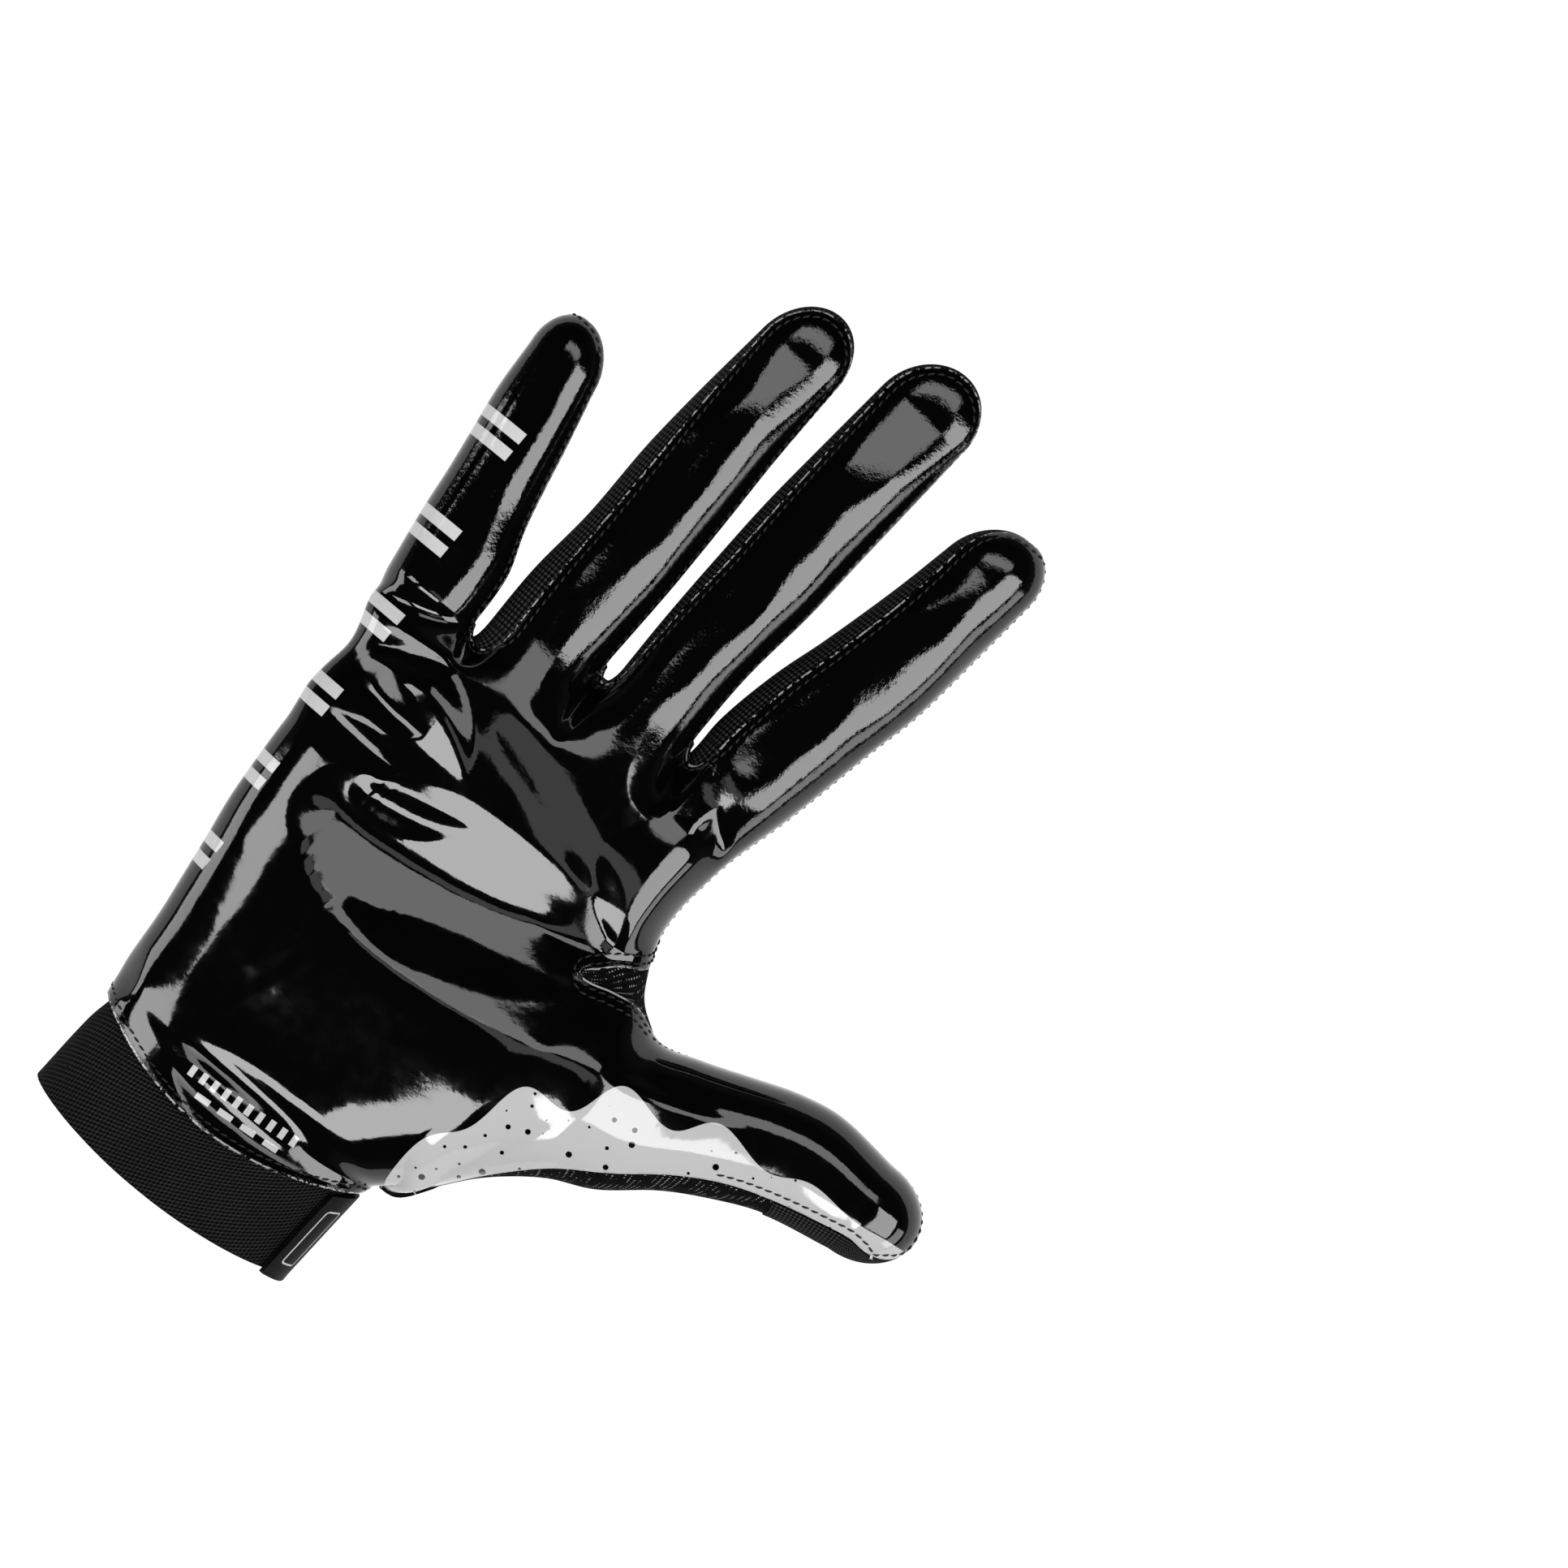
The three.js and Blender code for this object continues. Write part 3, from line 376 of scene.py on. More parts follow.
def lobe_surface(shape, at, angle, azimuth):
    """Place along, place across and height of a lobe's outer face. azimuth is NaN along the straight
    part; round the tip it runs from the low side, -90 degrees, to the high side."""
    on_tip = ~np.isnan(azimuth)
    turn = np.nan_to_num(azimuth)
    out = rounded(np.sin(angle), LOBE_POWER)
    start, end = shape.tip_start, shape.tip_end
    place = np.where(on_tip, start + (end - start) * out * np.cos(turn), at)
    across = np.where(on_tip, out * np.sin(turn), out)
    section_at = np.where(on_tip, start, at)
    low, high, side, top, bottom = (lobe_read(shape, name, section_at)
                                    for name in ("low", "high", "side", "top", "bottom"))
    lean = np.where(on_tip, tip_lean(shape) * (place - start), 0)
    height = height_at(rounded(np.cos(angle), LOBE_POWER), side, top, bottom)
    return place, (low + high) / 2 + lean + (high - low) / 2 * across, height


def seam_angle(shape, panel, at, side, azimuth):
    """Angle where the palm or back panel of a lobe ends on one side."""
    on_tip = ~np.isnan(azimuth)
    section_at = np.where(on_tip, shape.tip_start, at)
    edge = np.where(side < 0, lobe_read(shape, panel + "_low", section_at),
                    lobe_read(shape, panel + "_high", section_at))
    turn = np.radians(np.where(side < 0, shape.turn_low, shape.turn_high))
    share = ease(np.abs(np.nan_to_num(azimuth)) / turn)
    return np.radians(np.where(on_tip, lerp(getattr(shape, "tip_" + panel), edge, share), edge))


def lobe_panel_point(shape, panel, u, v, start_at):
    """u runs from -1 to 1 across a panel, v from 0 to 1 along the straight part and to 2 over the tip."""
    w = np.clip(v - 1, 0, 1)
    on_tip = v > 1
    disk_across = u * np.sqrt(1 - w * w / 2)
    disk_along = w * np.sqrt(1 - u * u / 2)
    share = np.where(on_tip, np.hypot(disk_across, disk_along), np.abs(u))
    azimuth = np.where(on_tip, np.arctan2(disk_across, disk_along), np.nan)
    side = np.where(u < 0, -1.0, 1.0)
    at = lerp(start_at, shape.tip_start, np.minimum(v, 1))
    seam = seam_angle(shape, panel, at, side, azimuth)
    angle = share * seam if panel == "palm" else np.pi - share * (np.pi - seam)
    return lobe_surface(shape, at, np.where(on_tip, angle, side * angle), azimuth)


def finger_point(finger, panel, u, v):
    start_at = lerp(finger.base_low, finger.base_high, (u + 1) / 2)
    along, across, height = lobe_panel_point(finger, panel, u, v, start_at)
    return xyz(across, along, height)


def finger_side_point(finger, side, at, azimuth, q, gap):
    """Side of a finger, from the palm panel's edge, q = 0, to the back panel's, q = 1."""
    on_tip = ~np.isnan(azimuth)
    facing = np.where(on_tip, azimuth, side)
    palm = seam_angle(finger, "palm", at, facing, azimuth)
    back = seam_angle(finger, "back", at, facing, azimuth)
    gap_angle = gap / (lobe_read(finger, "top", at) - lobe_read(finger, "side", at))
    angle = lerp(palm + gap_angle, back - gap_angle, q)
    along, across, height = lobe_surface(finger, at, np.where(on_tip, angle, side * angle), azimuth)
    return xyz(across, along, height)


def crotch_point(index, t, q, gap):
    """Crotch between two fingers: t from 0 to 1 round its U, q from the palm edge to the back edge."""
    _, palm, back, swell = CROTCHES[index]
    left, right = FINGERS[index], FINGERS[index + 1]
    start = finger_side_point(left, 1, left.base_high, np.nan, q, gap)
    end = finger_side_point(right, -1, right.base_low, np.nan, q, gap)
    turn = (np.pi * t)[..., None]
    depth = lerp(palm, back, q) - swell * 4 * q * (1 - q) - gap
    point = (start + end) / 2 + (start - end) / 2 * np.cos(turn)
    point[..., 1] -= depth * np.sin(turn[..., 0])
    return point


def palm_section(row):
    values = {name: read(PALM, name, np.minimum(row, PALM_LAST)) for name in PALM}
    left, reach = values["left"], values["reach"]
    return SimpleNamespace(centre=(left + reach) / 2, half=(reach - left) / 2, **values)


def palm_surface(section, panel, angle):
    share = rounded(np.sin(angle), PALM_POWER)
    up = rounded(np.cos(angle), PALM_POWER) * (1 if panel == "palm" else -1)
    x = section.centre + section.half * share
    side_crown = np.where(share < 0, section.heel, section.ball)
    crown = lerp(section.middle, side_crown, ease(np.abs(share) / CROWN_REACH))
    bow = section.bow * (1 if panel == "palm" else BACK_BOW)
    across = (x - section.left) / (section.reach - section.left)
    y = lerp(section.y_left, section.y_right, across) + bow * (1 - share * share)
    return xyz(x, y, height_at(up, section.side, crown, PALM_BOTTOM))


# Column positions: the fingers' and crotches' columns side by side
KNOTS = running([FINGER_COLUMNS, CROTCH_COLUMNS] * len(CROTCHES) + [FINGER_COLUMNS]).astype(float)
COLUMNS = KNOTS[-1]


def knot_at(column):
    """The knot before each column, and the share of the way to the next one."""
    i = np.clip(np.searchsorted(KNOTS, column, side="left") - 1, 0, len(KNOTS) - 2)
    return i, (column - KNOTS[i]) / (KNOTS[i + 1] - KNOTS[i])


def column_angle(section, panel, column):
    """Angle of a column at a palm section."""
    turn = np.radians(section.turn)
    stepped = np.where(turn > np.pi / 2, np.pi - turn - np.radians(SIDE_SEAM_STEP), turn)
    right_angle = turn if panel == "palm" else stepped
    left_angle = np.radians(HEEL_PALM if panel == "palm" else 180 - HEEL_BACK)
    right_x = section.centre + section.half * rounded(np.sin(right_angle), PALM_POWER)

    def knot_angle(i):
        x = lerp(section.left, right_x, COLUMN_SHARES[i])
        angle = unrounded((x - section.centre) / section.half, PALM_POWER)
        return np.where(i == 0, -left_angle, np.where(i == len(KNOTS) - 1, right_angle, angle))

    i, t = knot_at(column)
    return lerp(knot_angle(i), knot_angle(i + 1), t)


def knuckle_line(panel, column):
    """Bases of the fingers and the crotch bends between them, with the fingers' directions there."""
    i, t = knot_at(column)
    point = np.zeros(column.shape + (3,))
    slope = np.zeros(column.shape + (3,))

    def finger_slope(finger, u):
        return unit(finger_point(finger, panel, u, SLOPE_STEP) - finger_point(finger, panel, u, 0 * u))

    for k, finger in enumerate(FINGERS):
        here = i == 2 * k
        u = 2 * t[here] - 1
        point[here] = finger_point(finger, panel, u, 0 * u)
        slope[here] = finger_slope(finger, u)
    for k in range(len(CROTCHES)):
        here = i == 2 * k + 1
        s = t[here]
        point[here] = crotch_point(k, s, 0 * s + (panel == "back"), 0)
        slope[here] = lerp(finger_slope(FINGERS[k], np.ones(1)),
                           finger_slope(FINGERS[k + 1], -np.ones(1)), s[:, None])
    return point, slope


def section_point(panel, row, column):
    section = palm_section(row)
    return palm_surface(section, panel, column_angle(section, panel, column))


def palm_point(panel, row, column):
    row, column = np.broadcast_arrays(row, column)
    point = section_point(panel, row, column)
    if row.max() <= PALM_LAST:
        return point
    # Past the last section it bends over to the fingers
    before, start = (section_point(panel, last, column) for last in (PALM_LAST - 0.5, PALM_LAST))
    end, end_slope = knuckle_line(panel, column)
    reach = np.linalg.norm(end - start, axis=-1, keepdims=True)
    t = ((row - PALM_LAST) / (KNUCKLE_ROW - PALM_LAST))[..., None]
    bend = hermite(start, unit(start - before) * reach, end, end_slope * reach, t)
    return np.where(t > 0, bend, point)


def thumb_point(panel, u, v):
    """The thumb goes on from the palm's thumb side."""
    row = lerp(THUMB_FIRST_ROW, WEB_ROW, (u + 1) / 2)
    section = palm_section(row)
    start = section_point(panel, row, COLUMNS)
    along, across, height = lobe_panel_point(THUMB, panel, u, v, start[..., 0])
    share = np.minimum((along - section.centre) / section.half, BLEND_REACH)
    palm = palm_surface(section, panel, unrounded(share, PALM_POWER))
    # On the wrist's side both panels start from the side seam
    seam = np.maximum(ease((-u - BLEND_SEAM) / (1 - BLEND_SEAM)),
                      (1 - ease(v / BLEND_ACROSS)) * ease(-u / BLEND_SEAM))
    base = lerp(palm[..., 2], start[..., 2], seam)
    y = lerp(palm[..., 1], across, np.where(v > 1, 1, ease(v / BLEND_ACROSS)))
    z = lerp(base, height, np.where(v > 1, 1, ease(v / BLEND_UP)))
    return xyz(along, y, z)


def slack_relief(x, y):
    """Height of the film's small waves."""
    total = np.zeros(x.shape)
    for length, heading, phase, height in SLACK:
        turn = math.radians(heading)
        along = x * math.cos(turn) + y * math.sin(turn)
        total += height * np.sin(2 * np.pi * along / length + phase)
    return total * lerp(SLACK_ON_PALM, 1.0, ease((y - SLACK_FROM) / SLACK_GROWTH))


def fold_relief(x, y):
    """Height that the film's slack and the palm's folds add at each place. Complex numbers stand for
    places here."""
    total = slack_relief(x, y)
    s = np.linspace(0, 1, FOLD_STEPS + 1)
    for x0, y0, xm, ym, x1, y1, left, right, rise, grow0, grow1 in FOLDS:
        start, middle, end = complex(x0, y0), complex(xm, ym), complex(x1, y1)
        line = (1 - s) ** 2 * start + 2 * s * (1 - s) * (2 * middle - (start + end) / 2) + s * s * end
        step = np.diff(line)
        away = (x + 1j * y)[:, None] - line[:-1]
        turned = away * step.conj()
        along = np.clip(turned.real / np.abs(step) ** 2, 0, 1)
        off = np.abs(away - along * step)
        nearest = np.arange(len(x)), off.argmin(axis=1)
        place = (nearest[1] + along[nearest]) / FOLD_STEPS
        grow = (grow0 * (2 * place - 1) * (place - 1) + 4 * place * (1 - place)
                + grow1 * place * (2 * place - 1))
        grow = np.maximum(grow, FOLD_LEAST_SCALE)
        width = grow * lerp(right, left, ease(turned.imag[nearest] / FOLD_SIDE_BLEND + 0.5))
        outside = np.sqrt(off[nearest] ** 2 + FOLD_ROUND ** 2) - FOLD_ROUND
        total += rise * grow * np.clip(1 - outside / width, 0, 1) ** FOLD_FLANK
    return total


# Meshes: patches of four-sided faces, welded, smoothed, and given a wall inwards

def patch(rows, columns, point_at, flip=False):
    """Grid of points with its faces, and the grid's own distances as weave coordinates."""
    row, column = np.meshgrid(rows, columns, indexing="ij")
    points = point_at(row, column)
    v = running(np.linalg.norm(np.diff(points, axis=0), axis=-1).mean(axis=1))
    u = running(np.linalg.norm(np.diff(points, axis=1), axis=-1).mean(axis=0))
    weave = xyz(*np.meshgrid(u, v, indexing="xy"), 0)
    count = len(columns)
    corner = (np.arange(len(rows) - 1)[:, None] * count + np.arange(count - 1)).ravel()
    quads = np.stack([corner, corner + 1, corner + 1 + count, corner + count], axis=1)
    return points.reshape(-1, 3), quads[:, ::-1] if flip else quads, weave.reshape(-1, 3)


def weld(patches):
    """One mesh of several patches, with the points that they share made one."""
    starts = running([len(points) for points, _, _ in patches])
    points = np.concatenate([part[0] for part in patches])
    faces = np.concatenate([part[1] + start for part, start in zip(patches, starts)])
    weaves = np.concatenate([part[2] for part in patches])
    keys = np.floor(points / WELD + WELD_SHIFT).astype(np.int64)
    _, first, index = np.unique(keys, axis=0, return_index=True, return_inverse=True)
    return points[first], index.ravel()[faces], weaves[first]


def edge_table(faces):
    """Directed edges of the faces and the open ones among them."""
    edges = np.concatenate([faces[:, [k, (k + 1) % 4]] for k in range(4)])
    edges = edges[edges[:, 0] != edges[:, 1]]
    size = int(faces.max()) + 1
    forward = edges[:, 0] * size + edges[:, 1]
    backward = edges[:, 1] * size + edges[:, 0]
    return edges, edges[~np.isin(forward, backward)]


def relax(points, faces, rounds, keep):
    """Smooths the points, without shrinking, where keep is 0."""
    edges, _ = edge_table(faces)
    both = np.unique(np.sort(edges, axis=1), axis=0)
    degree = np.bincount(both.ravel(), minlength=len(points))[:, None]
    free = (1 - keep)[:, None]
    for step in SMOOTHING * rounds:
        total = np.zeros_like(points)
        np.add.at(total, both[:, 0], points[both[:, 1]])
        np.add.at(total, both[:, 1], points[both[:, 0]])
        points = points + step * free * (total / degree - points)
    return points


def vertex_normals(points, faces):
    normals = np.zeros_like(points)
    own = np.cross(points[faces[:, 2]] - points[faces[:, 0]], points[faces[:, 3]] - points[faces[:, 1]])
    for k in range(4):
        np.add.at(normals, faces[:, k], own)
    return unit(normals)


def open_loops(faces):
    """Ordered vertex loops of the open edges."""
    _, rims = edge_table(faces)
    following = {int(a): int(b) for a, b in rims}
    loops = []
    while following:
        start = next(iter(following))
        loop, here = [], start
        while here in following:
            loop.append(here)
            here = following.pop(here)
        loops.append(np.array(loop))
    return loops


def line_distance(points, line):
    """Distance of each point to the nearest point of a closely sampled line."""
    tree = KDTree(len(line))
    for i, place in enumerate(line):
        tree.insert(place, i)
    tree.balance()
    return np.array([tree.find(place)[2] for place in points])


def add_object(name, data):
    made = bpy.data.objects.new(name, data)
    bpy.context.scene.collection.objects.link(made)
    return made


def make_object(name, points, faces, materials, face_material=None, fields=()):
    """Piece of the body with its named materials and its fields, which are values for each point."""
    mesh = bpy.data.meshes.new(name)
    mesh.from_pydata((points * MM).tolist(), [], [list(dict.fromkeys(face)) for face in faces])
    mesh.validate()
    for material in materials:
        mesh.materials.append(MATERIALS[material])
    mesh.polygons.foreach_set("use_smooth", np.ones(len(mesh.polygons), bool))
    if face_material is not None:
        mesh.polygons.foreach_set("material_index", face_material.astype(np.int32))
    for field, values in fields:
        kind = "FLOAT_VECTOR" if values.ndim == 2 else "FLOAT"
        attribute = mesh.attributes.new(field, kind, "POINT")
        attribute.data.foreach_set("vector" if values.ndim == 2 else "value", values.ravel())
    mesh.update()
    piece = add_object(name, mesh)
    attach(piece, BODY)
    return piece


def walled(name, patches, face, thickness, lift=0.0, rounds=0, shape=None, rim=None):
    """Sheet with a wall: outer face, inner face and rim, whose materials face and rim name. rounds counts
    the smoothing steps, and shape may move the outer points. Returns the piece with its outer side."""
    points, faces, weave = weld(patches)
    loops = open_loops(faces)
    keep = np.zeros(len(points))
    keep[np.concatenate(loops)] = 1
    points = relax(points, faces, rounds, keep)
    normals = vertex_normals(points, faces)
    points = points + normals * lift
    if shape is not None:
        points = shape(points)
        normals = vertex_normals(points, faces)
    edge = np.min([line_distance(points, points[loop]) for loop in loops], axis=0)
    count = len(points)
    rims = np.concatenate([np.stack([np.roll(loop, -1), loop, loop + count, np.roll(loop, -1) + count], 1)
                           for loop in loops])
    piece = make_object(
        name, np.concatenate([points, points - normals * thickness]),
        np.concatenate([faces, faces[:, ::-1] + count, rims]).tolist(), [face, rim or face],
        np.concatenate([np.zeros(2 * len(faces)), np.ones(len(rims))]),
        (("weave", np.concatenate([weave, weave])), ("edge", np.concatenate([edge, edge]))),
    )
    sharp = {tuple(sorted(pair)) for pair in np.concatenate([rims[:, :2], rims[:, 2:]]).tolist()}
    marks = piece.data.attributes.new("sharp_edge", "BOOLEAN", "EDGE")
    marks.data.foreach_set("value", [edge.key in sharp for edge in piece.data.edges])
    return SimpleNamespace(piece=piece, points=points, normals=normals, faces=faces, loops=loops)


# Materials

class Value:
    """What one node of a shader puts out, with the usual arithmetic."""

    def __init__(self, shader, socket):
        self.shader = shader
        self.socket = socket

    def other(self, output):
        """Another output of the same node."""
        return Value(self.shader, self.socket.node.outputs[output])

    def math(self, operation, second=0.0):
        return self.shader.node("ShaderNodeMath", {0: self, 1: second}, operation=operation)

    def __add__(self, second):
        return self.math("ADD", second)

    def __sub__(self, second):
        return self.math("SUBTRACT", second)

    def __rsub__(self, first):
        return self.shader.node("ShaderNodeMath", {0: first, 1: self}, operation="SUBTRACT")

    def __mul__(self, second):
        return self.math("MULTIPLY", second)

    def __truediv__(self, second):
        return self.math("DIVIDE", second)

    def __abs__(self):
        return self.math("ABSOLUTE")

    def wave(self, pitch):
        return (self * (2 * math.pi / pitch)).math("SINE")

    def ramp(self, low, high, start=0.0, end=1.0, kind="SMOOTHSTEP"):
        """Runs from start to end while the value runs from low to high."""
        values = {"Value": self, "From Min": low, "From Max": high, "To Min": start, "To Max": end}
        return self.shader.node("ShaderNodeMapRange", values, interpolation_type=kind)

    def below(self, limit):
        """1 below a limit and 0 above it, with a narrow soft edge."""
        return self.ramp(limit + PRINT_SOFT, limit - PRINT_SOFT)

    def axes(self):
        """The first two axes of a vector."""
        first = self.shader.node("ShaderNodeSeparateXYZ", {0: self})
        return first, first.other(1)

    def noise(self, scale, detail=2.0, roughness=0.5):
        """Noise at a place, with its scale for each millimetre."""
        values = {"Vector": self, "Scale": scale, "Detail": detail, "Roughness": roughness}
        return self.shader.node("ShaderNodeTexNoise", values)

    def mix(self, first, second):
        """Colour between two others at a share."""
        return self.shader.node("ShaderNodeMix", {0: self, 6: first, 7: second}, 2, data_type="RGBA")

    def bump(self, distance, strength, normal=None):
        """Normal of a height in millimetres, on top of another normal."""
        values = {"Height": self, "Distance": distance * MM, "Strength": strength}
        if normal is not None:
            values["Normal"] = normal
        return self.shader.node("ShaderNodeBump", values)


class Shader:
    """The nodes of a material or a world, made by short calls."""

    def __init__(self, owner):
        owner.use_nodes = True
        self.owner = owner
        self.tree = owner.node_tree

    def node(self, kind, values=(), output=0, **settings):
        made = self.tree.nodes.new(kind)
        for key, value in settings.items():
            setattr(made, key, value)
        for key, value in dict(values).items():
            self.feed(made.inputs[key], value)
        return Value(self, made.outputs[output])

    def feed(self, socket, value):
        if isinstance(value, Value):
            self.tree.links.new(value.socket, socket)
        else:
            socket.default_value = value

    def field(self, name):
        """A piece's own value at each point."""
        return self.node("ShaderNodeAttribute", (), "Fac", attribute_name=name)

    def weave(self):
        """Places across and along the threads, in millimetres."""
        return self.field("weave").other("Vector").axes()

    def finish(self, **inputs):
        """Feeds the surface's inputs and returns the material."""
        names = {"color": "Base Color", "ior": "IOR", "specular": "Specular IOR Level",
                 "glow": "Emission Color", "glow_strength": "Emission Strength"}
        surface = self.tree.nodes["Principled BSDF"]
        for key, value in inputs.items():
            self.feed(surface.inputs[names.get(key, key.title())], value)
        return self.owner


def new_material(name):
    """A material's shader, and the place on the object in millimetres."""
    shader = Shader(bpy.data.materials.new(name))
    coordinates = shader.node("ShaderNodeTexCoord", (), "Object")
    values = {0: coordinates, "Scale": 1 / MM}
    return shader, shader.node("ShaderNodeVectorMath", values, operation="SCALE")


def grey(value):
    return (value, value, value, 1.0)


# White print: bars along the little finger's side, a wave with spots along the thumb and two short rows
# of small bars at the wrist
BAR_HALF = 3.6
BAR_GAP_HALF = 0.9
# centre along the finger, right end
BAR_PLACES = ((82, -46), (58, -43.5), (37, -41.5), (17, -41.5), (-3, -41.8), (-23, -40.3))
WAVE_START = (30.0, -53.0)
WAVE_END = (119.0, 4.0)
WAVE_TOP = 23.5
WAVE_SWELL = 3.2
WAVE_LENGTH = 21.0
WAVE_LEAN = 0.75
SPOT_PITCH = 4.3
SPOT_LARGEST = 1.15
ROW_TURN = math.radians(4.2)
# centre_x, centre_y, pitch, width, height, length
SMALL_ROWS = (
    (-2.4, -58.2, 2.8, 1.3, 2.4, 28.0),
    (-1.3, -61.7, 5.6, 3.4, 1.3, 22.4),
)
PRINT_SOFT = 0.06


def turned_axes(x, y, start_x, start_y, turn):
    """Places along and across a turned line from its start."""
    px, py = x - start_x, y - start_y
    cos, sin = math.cos(turn), math.sin(turn)
    return px * cos + py * sin, py * cos - px * sin


def wave_mask(shader, x, y):
    dx, dy = WAVE_END[0] - WAVE_START[0], WAVE_END[1] - WAVE_START[1]
    along, across = turned_axes(x, y, *WAVE_START, math.atan2(dy, dx))
    share = along / math.hypot(dx, dy)
    hump = (share.math("POWER", WAVE_LEAN) * math.pi).math("SINE")
    depth = hump * (along.wave(WAVE_LENGTH) * WAVE_SWELL + WAVE_TOP) - across
    white = (depth * -1).below(0) * along.ramp(-0.5, 0.5)
    # Scattered round spots of many sizes, larger towards the seam
    place = shader.node("ShaderNodeCombineXYZ", {0: along / SPOT_PITCH, 1: across / SPOT_PITCH})
    distance = shader.node("ShaderNodeTexVoronoi", {"Vector": place, "Scale": 1.0, "Randomness": 0.8},
                           voronoi_dimensions="2D")
    chance = distance.other("Color").axes()[0]
    size = chance.ramp(0.25, 1.0) * depth.ramp(3.0, 16.0, 0.35, SPOT_LARGEST, "LINEAR")
    return white * (size - distance * SPOT_PITCH).below(0)


def print_mask(shader, x, y):
    """1 on the white print, 0 on the black film."""
    total = wave_mask(shader, x, y)
    for centre, right in BAR_PLACES:
        away = abs(y - centre)
        bars = away.below(BAR_HALF) * (1 - away.below(BAR_GAP_HALF)) * x.below(right)
        total = total.math("MAXIMUM", bars)
    for centre_x, centre_y, pitch, width, height, length in SMALL_ROWS:
        along, across = turned_axes(x, y, centre_x, centre_y, ROW_TURN)
        off = abs(((along + length / 2) / pitch).math("FRACT") - 0.5)
        bars = (off * pitch).below(width / 2) * abs(across).below(height / 2)
        total = total.math("MAXIMUM", bars * abs(along).below(length / 2))
    return total


def coated_film():
    shader, where = new_material("coated_film")
    x, y = where.axes()
    edge = shader.field("edge")
    black = where.noise(0.05, 3).mix(grey(0.0004), grey(0.0012))
    # The white print is painted lighter towards the little finger's side: painted light that makes up for
    # the lamps lighting that side less
    print_with_painted_light = x.ramp(-30.0, 20.0).mix(grey(0.36), grey(0.27))
    printed = print_mask(shader, x, y).mix(black, print_with_painted_light)
    # Painted highlights: pale glints painted on the cut edge, and an unbroken pale line of the cut edge
    # where the film turns round the web
    from_web = shader.node("ShaderNodeVectorMath", {0: where, 1: WEB_EDGE}, "Value", operation="DISTANCE")
    glint = where.noise(0.9, 2, 0.6).ramp(0.47, 0.54).math("MAXIMUM", from_web.ramp(7.0, 5.5))
    color = (edge.ramp(0.5, 0.35) * glint).mix(printed, grey(0.22))
    # Three sizes of unevenness: swells, ripples that are weaker on the palm, and a crumpled edge
    swell = where.noise(0.16, 2).bump(0.25, 0.16)
    ripple = (where.noise(0.9, 3, 0.6) * y.ramp(40.0, 60.0, 0.2, 1.0)).bump(0.4, 0.11, swell)
    crumple = (where.noise(1.1, 3, 0.7) * edge.ramp(1.5, 0.5)).bump(0.25, 0.35, ripple)
    roughness = where.noise(0.3, 4).ramp(0.3, 0.8, 0.045, 0.085)
    return shader.finish(color=color, roughness=roughness, normal=crumple, ior=1.5)


def raw_edge():
    shader, where = new_material("raw_edge")
    # The pale flecks are painted glints on the cut edge; the same flecks also give it its small bumps
    flecks = where.noise(1.3, 3, 0.7).ramp(0.54, 0.64)
    color = flecks.mix(grey(0.001), grey(0.16))
    return shader.finish(color=color, roughness=0.8, specular=0.1, normal=flecks.bump(0.1, 0.5))


def mesh_fabric(name, pitch):
    """Diamond mesh: small round holes in staggered rows."""
    shader, where = new_material(name)
    u, v = shader.weave()
    height = (u + v).wave(pitch) * (u - v).wave(pitch) + where.noise(2.4, 3, 0.7) * 0.6
    color = height.ramp(0.1, 0.9).mix(grey(0.0004), grey(0.024))
    return shader.finish(color=color, roughness=0.8, specular=0.04, normal=height.bump(0.16, 0.8))


def speckled_knit():
    """Ribbed knit with white flecks in slanting rows."""
    shader, where = new_material("speckled_knit")
    u, v = shader.weave()
    ribs = (v + u * 0.35).wave(1.2)
    loops = (u - v * 0.2).wave(0.8)
    flecks = ribs.ramp(0.5, 0.9) * loops.ramp(0.2, 0.8) * where.noise(0.4, 2).ramp(0.46, 0.6)
    fuzz = where.noise(2.2, 3, 0.7)
    color = flecks.mix(fuzz.mix(grey(0.0003), grey(0.003)), grey(0.24))
    height = (ribs + loops) * 0.5 + fuzz
    return shader.finish(color=color, roughness=0.85, specular=0.03, normal=height.bump(0.2, 0.9))


def woven_elastic():
    """Charcoal elastic: short slanted strokes in close rows."""
    shader, where = new_material("woven_elastic")
    u, v = shader.weave()
    twill = (v + u * 0.5).wave(1.0)
    cords = (u - v * 0.12).wave(0.85)
    height = twill + cords * 0.8 + where.noise(2.0, 4, 0.75) * 1.2
    light = where.noise(0.1, 3).mix(grey(0.012), grey(0.022))
    color = height.ramp(-0.6, 2.2).mix(grey(0.0005), light)
    return shader.finish(color=color, roughness=0.85, specular=0.04, normal=height.bump(0.2, 1.0))


# Plain white frame printed on the strap's end, in millimetres round the strap and down it
FRAME_CENTRE = (5.0, 11.0)
FRAME_HALF = (2.6, 7.0)
FRAME_CORNER = 0.8
FRAME_LINE_HALF = 0.2


def satin_tape():
    shader, where = new_material("satin_tape")
    u, v = shader.weave()
    # Distances past the straight sides' ends, which give the distance from a frame with round corners
    past = [abs(value - middle) - (half - FRAME_CORNER)
            for value, middle, half in zip((u, v), FRAME_CENTRE, FRAME_HALF)]
    outer = [value.math("MAXIMUM") for value in past]
    corner = (outer[0] * outer[0] + outer[1] * outer[1]).math("SQRT")
    inner = past[0].math("MAXIMUM", past[1]).math("MINIMUM")
    frame = abs(corner + inner - FRAME_CORNER).below(FRAME_LINE_HALF)
    fuzz = where.noise(1.2, 3)
    color = frame.mix(fuzz.mix(grey(0.0006), grey(0.002)), grey(0.3))
    normal = (u.wave(0.3) + fuzz).bump(0.05, 0.5)
    return shader.finish(color=color, roughness=0.5, specular=0.05, normal=normal)


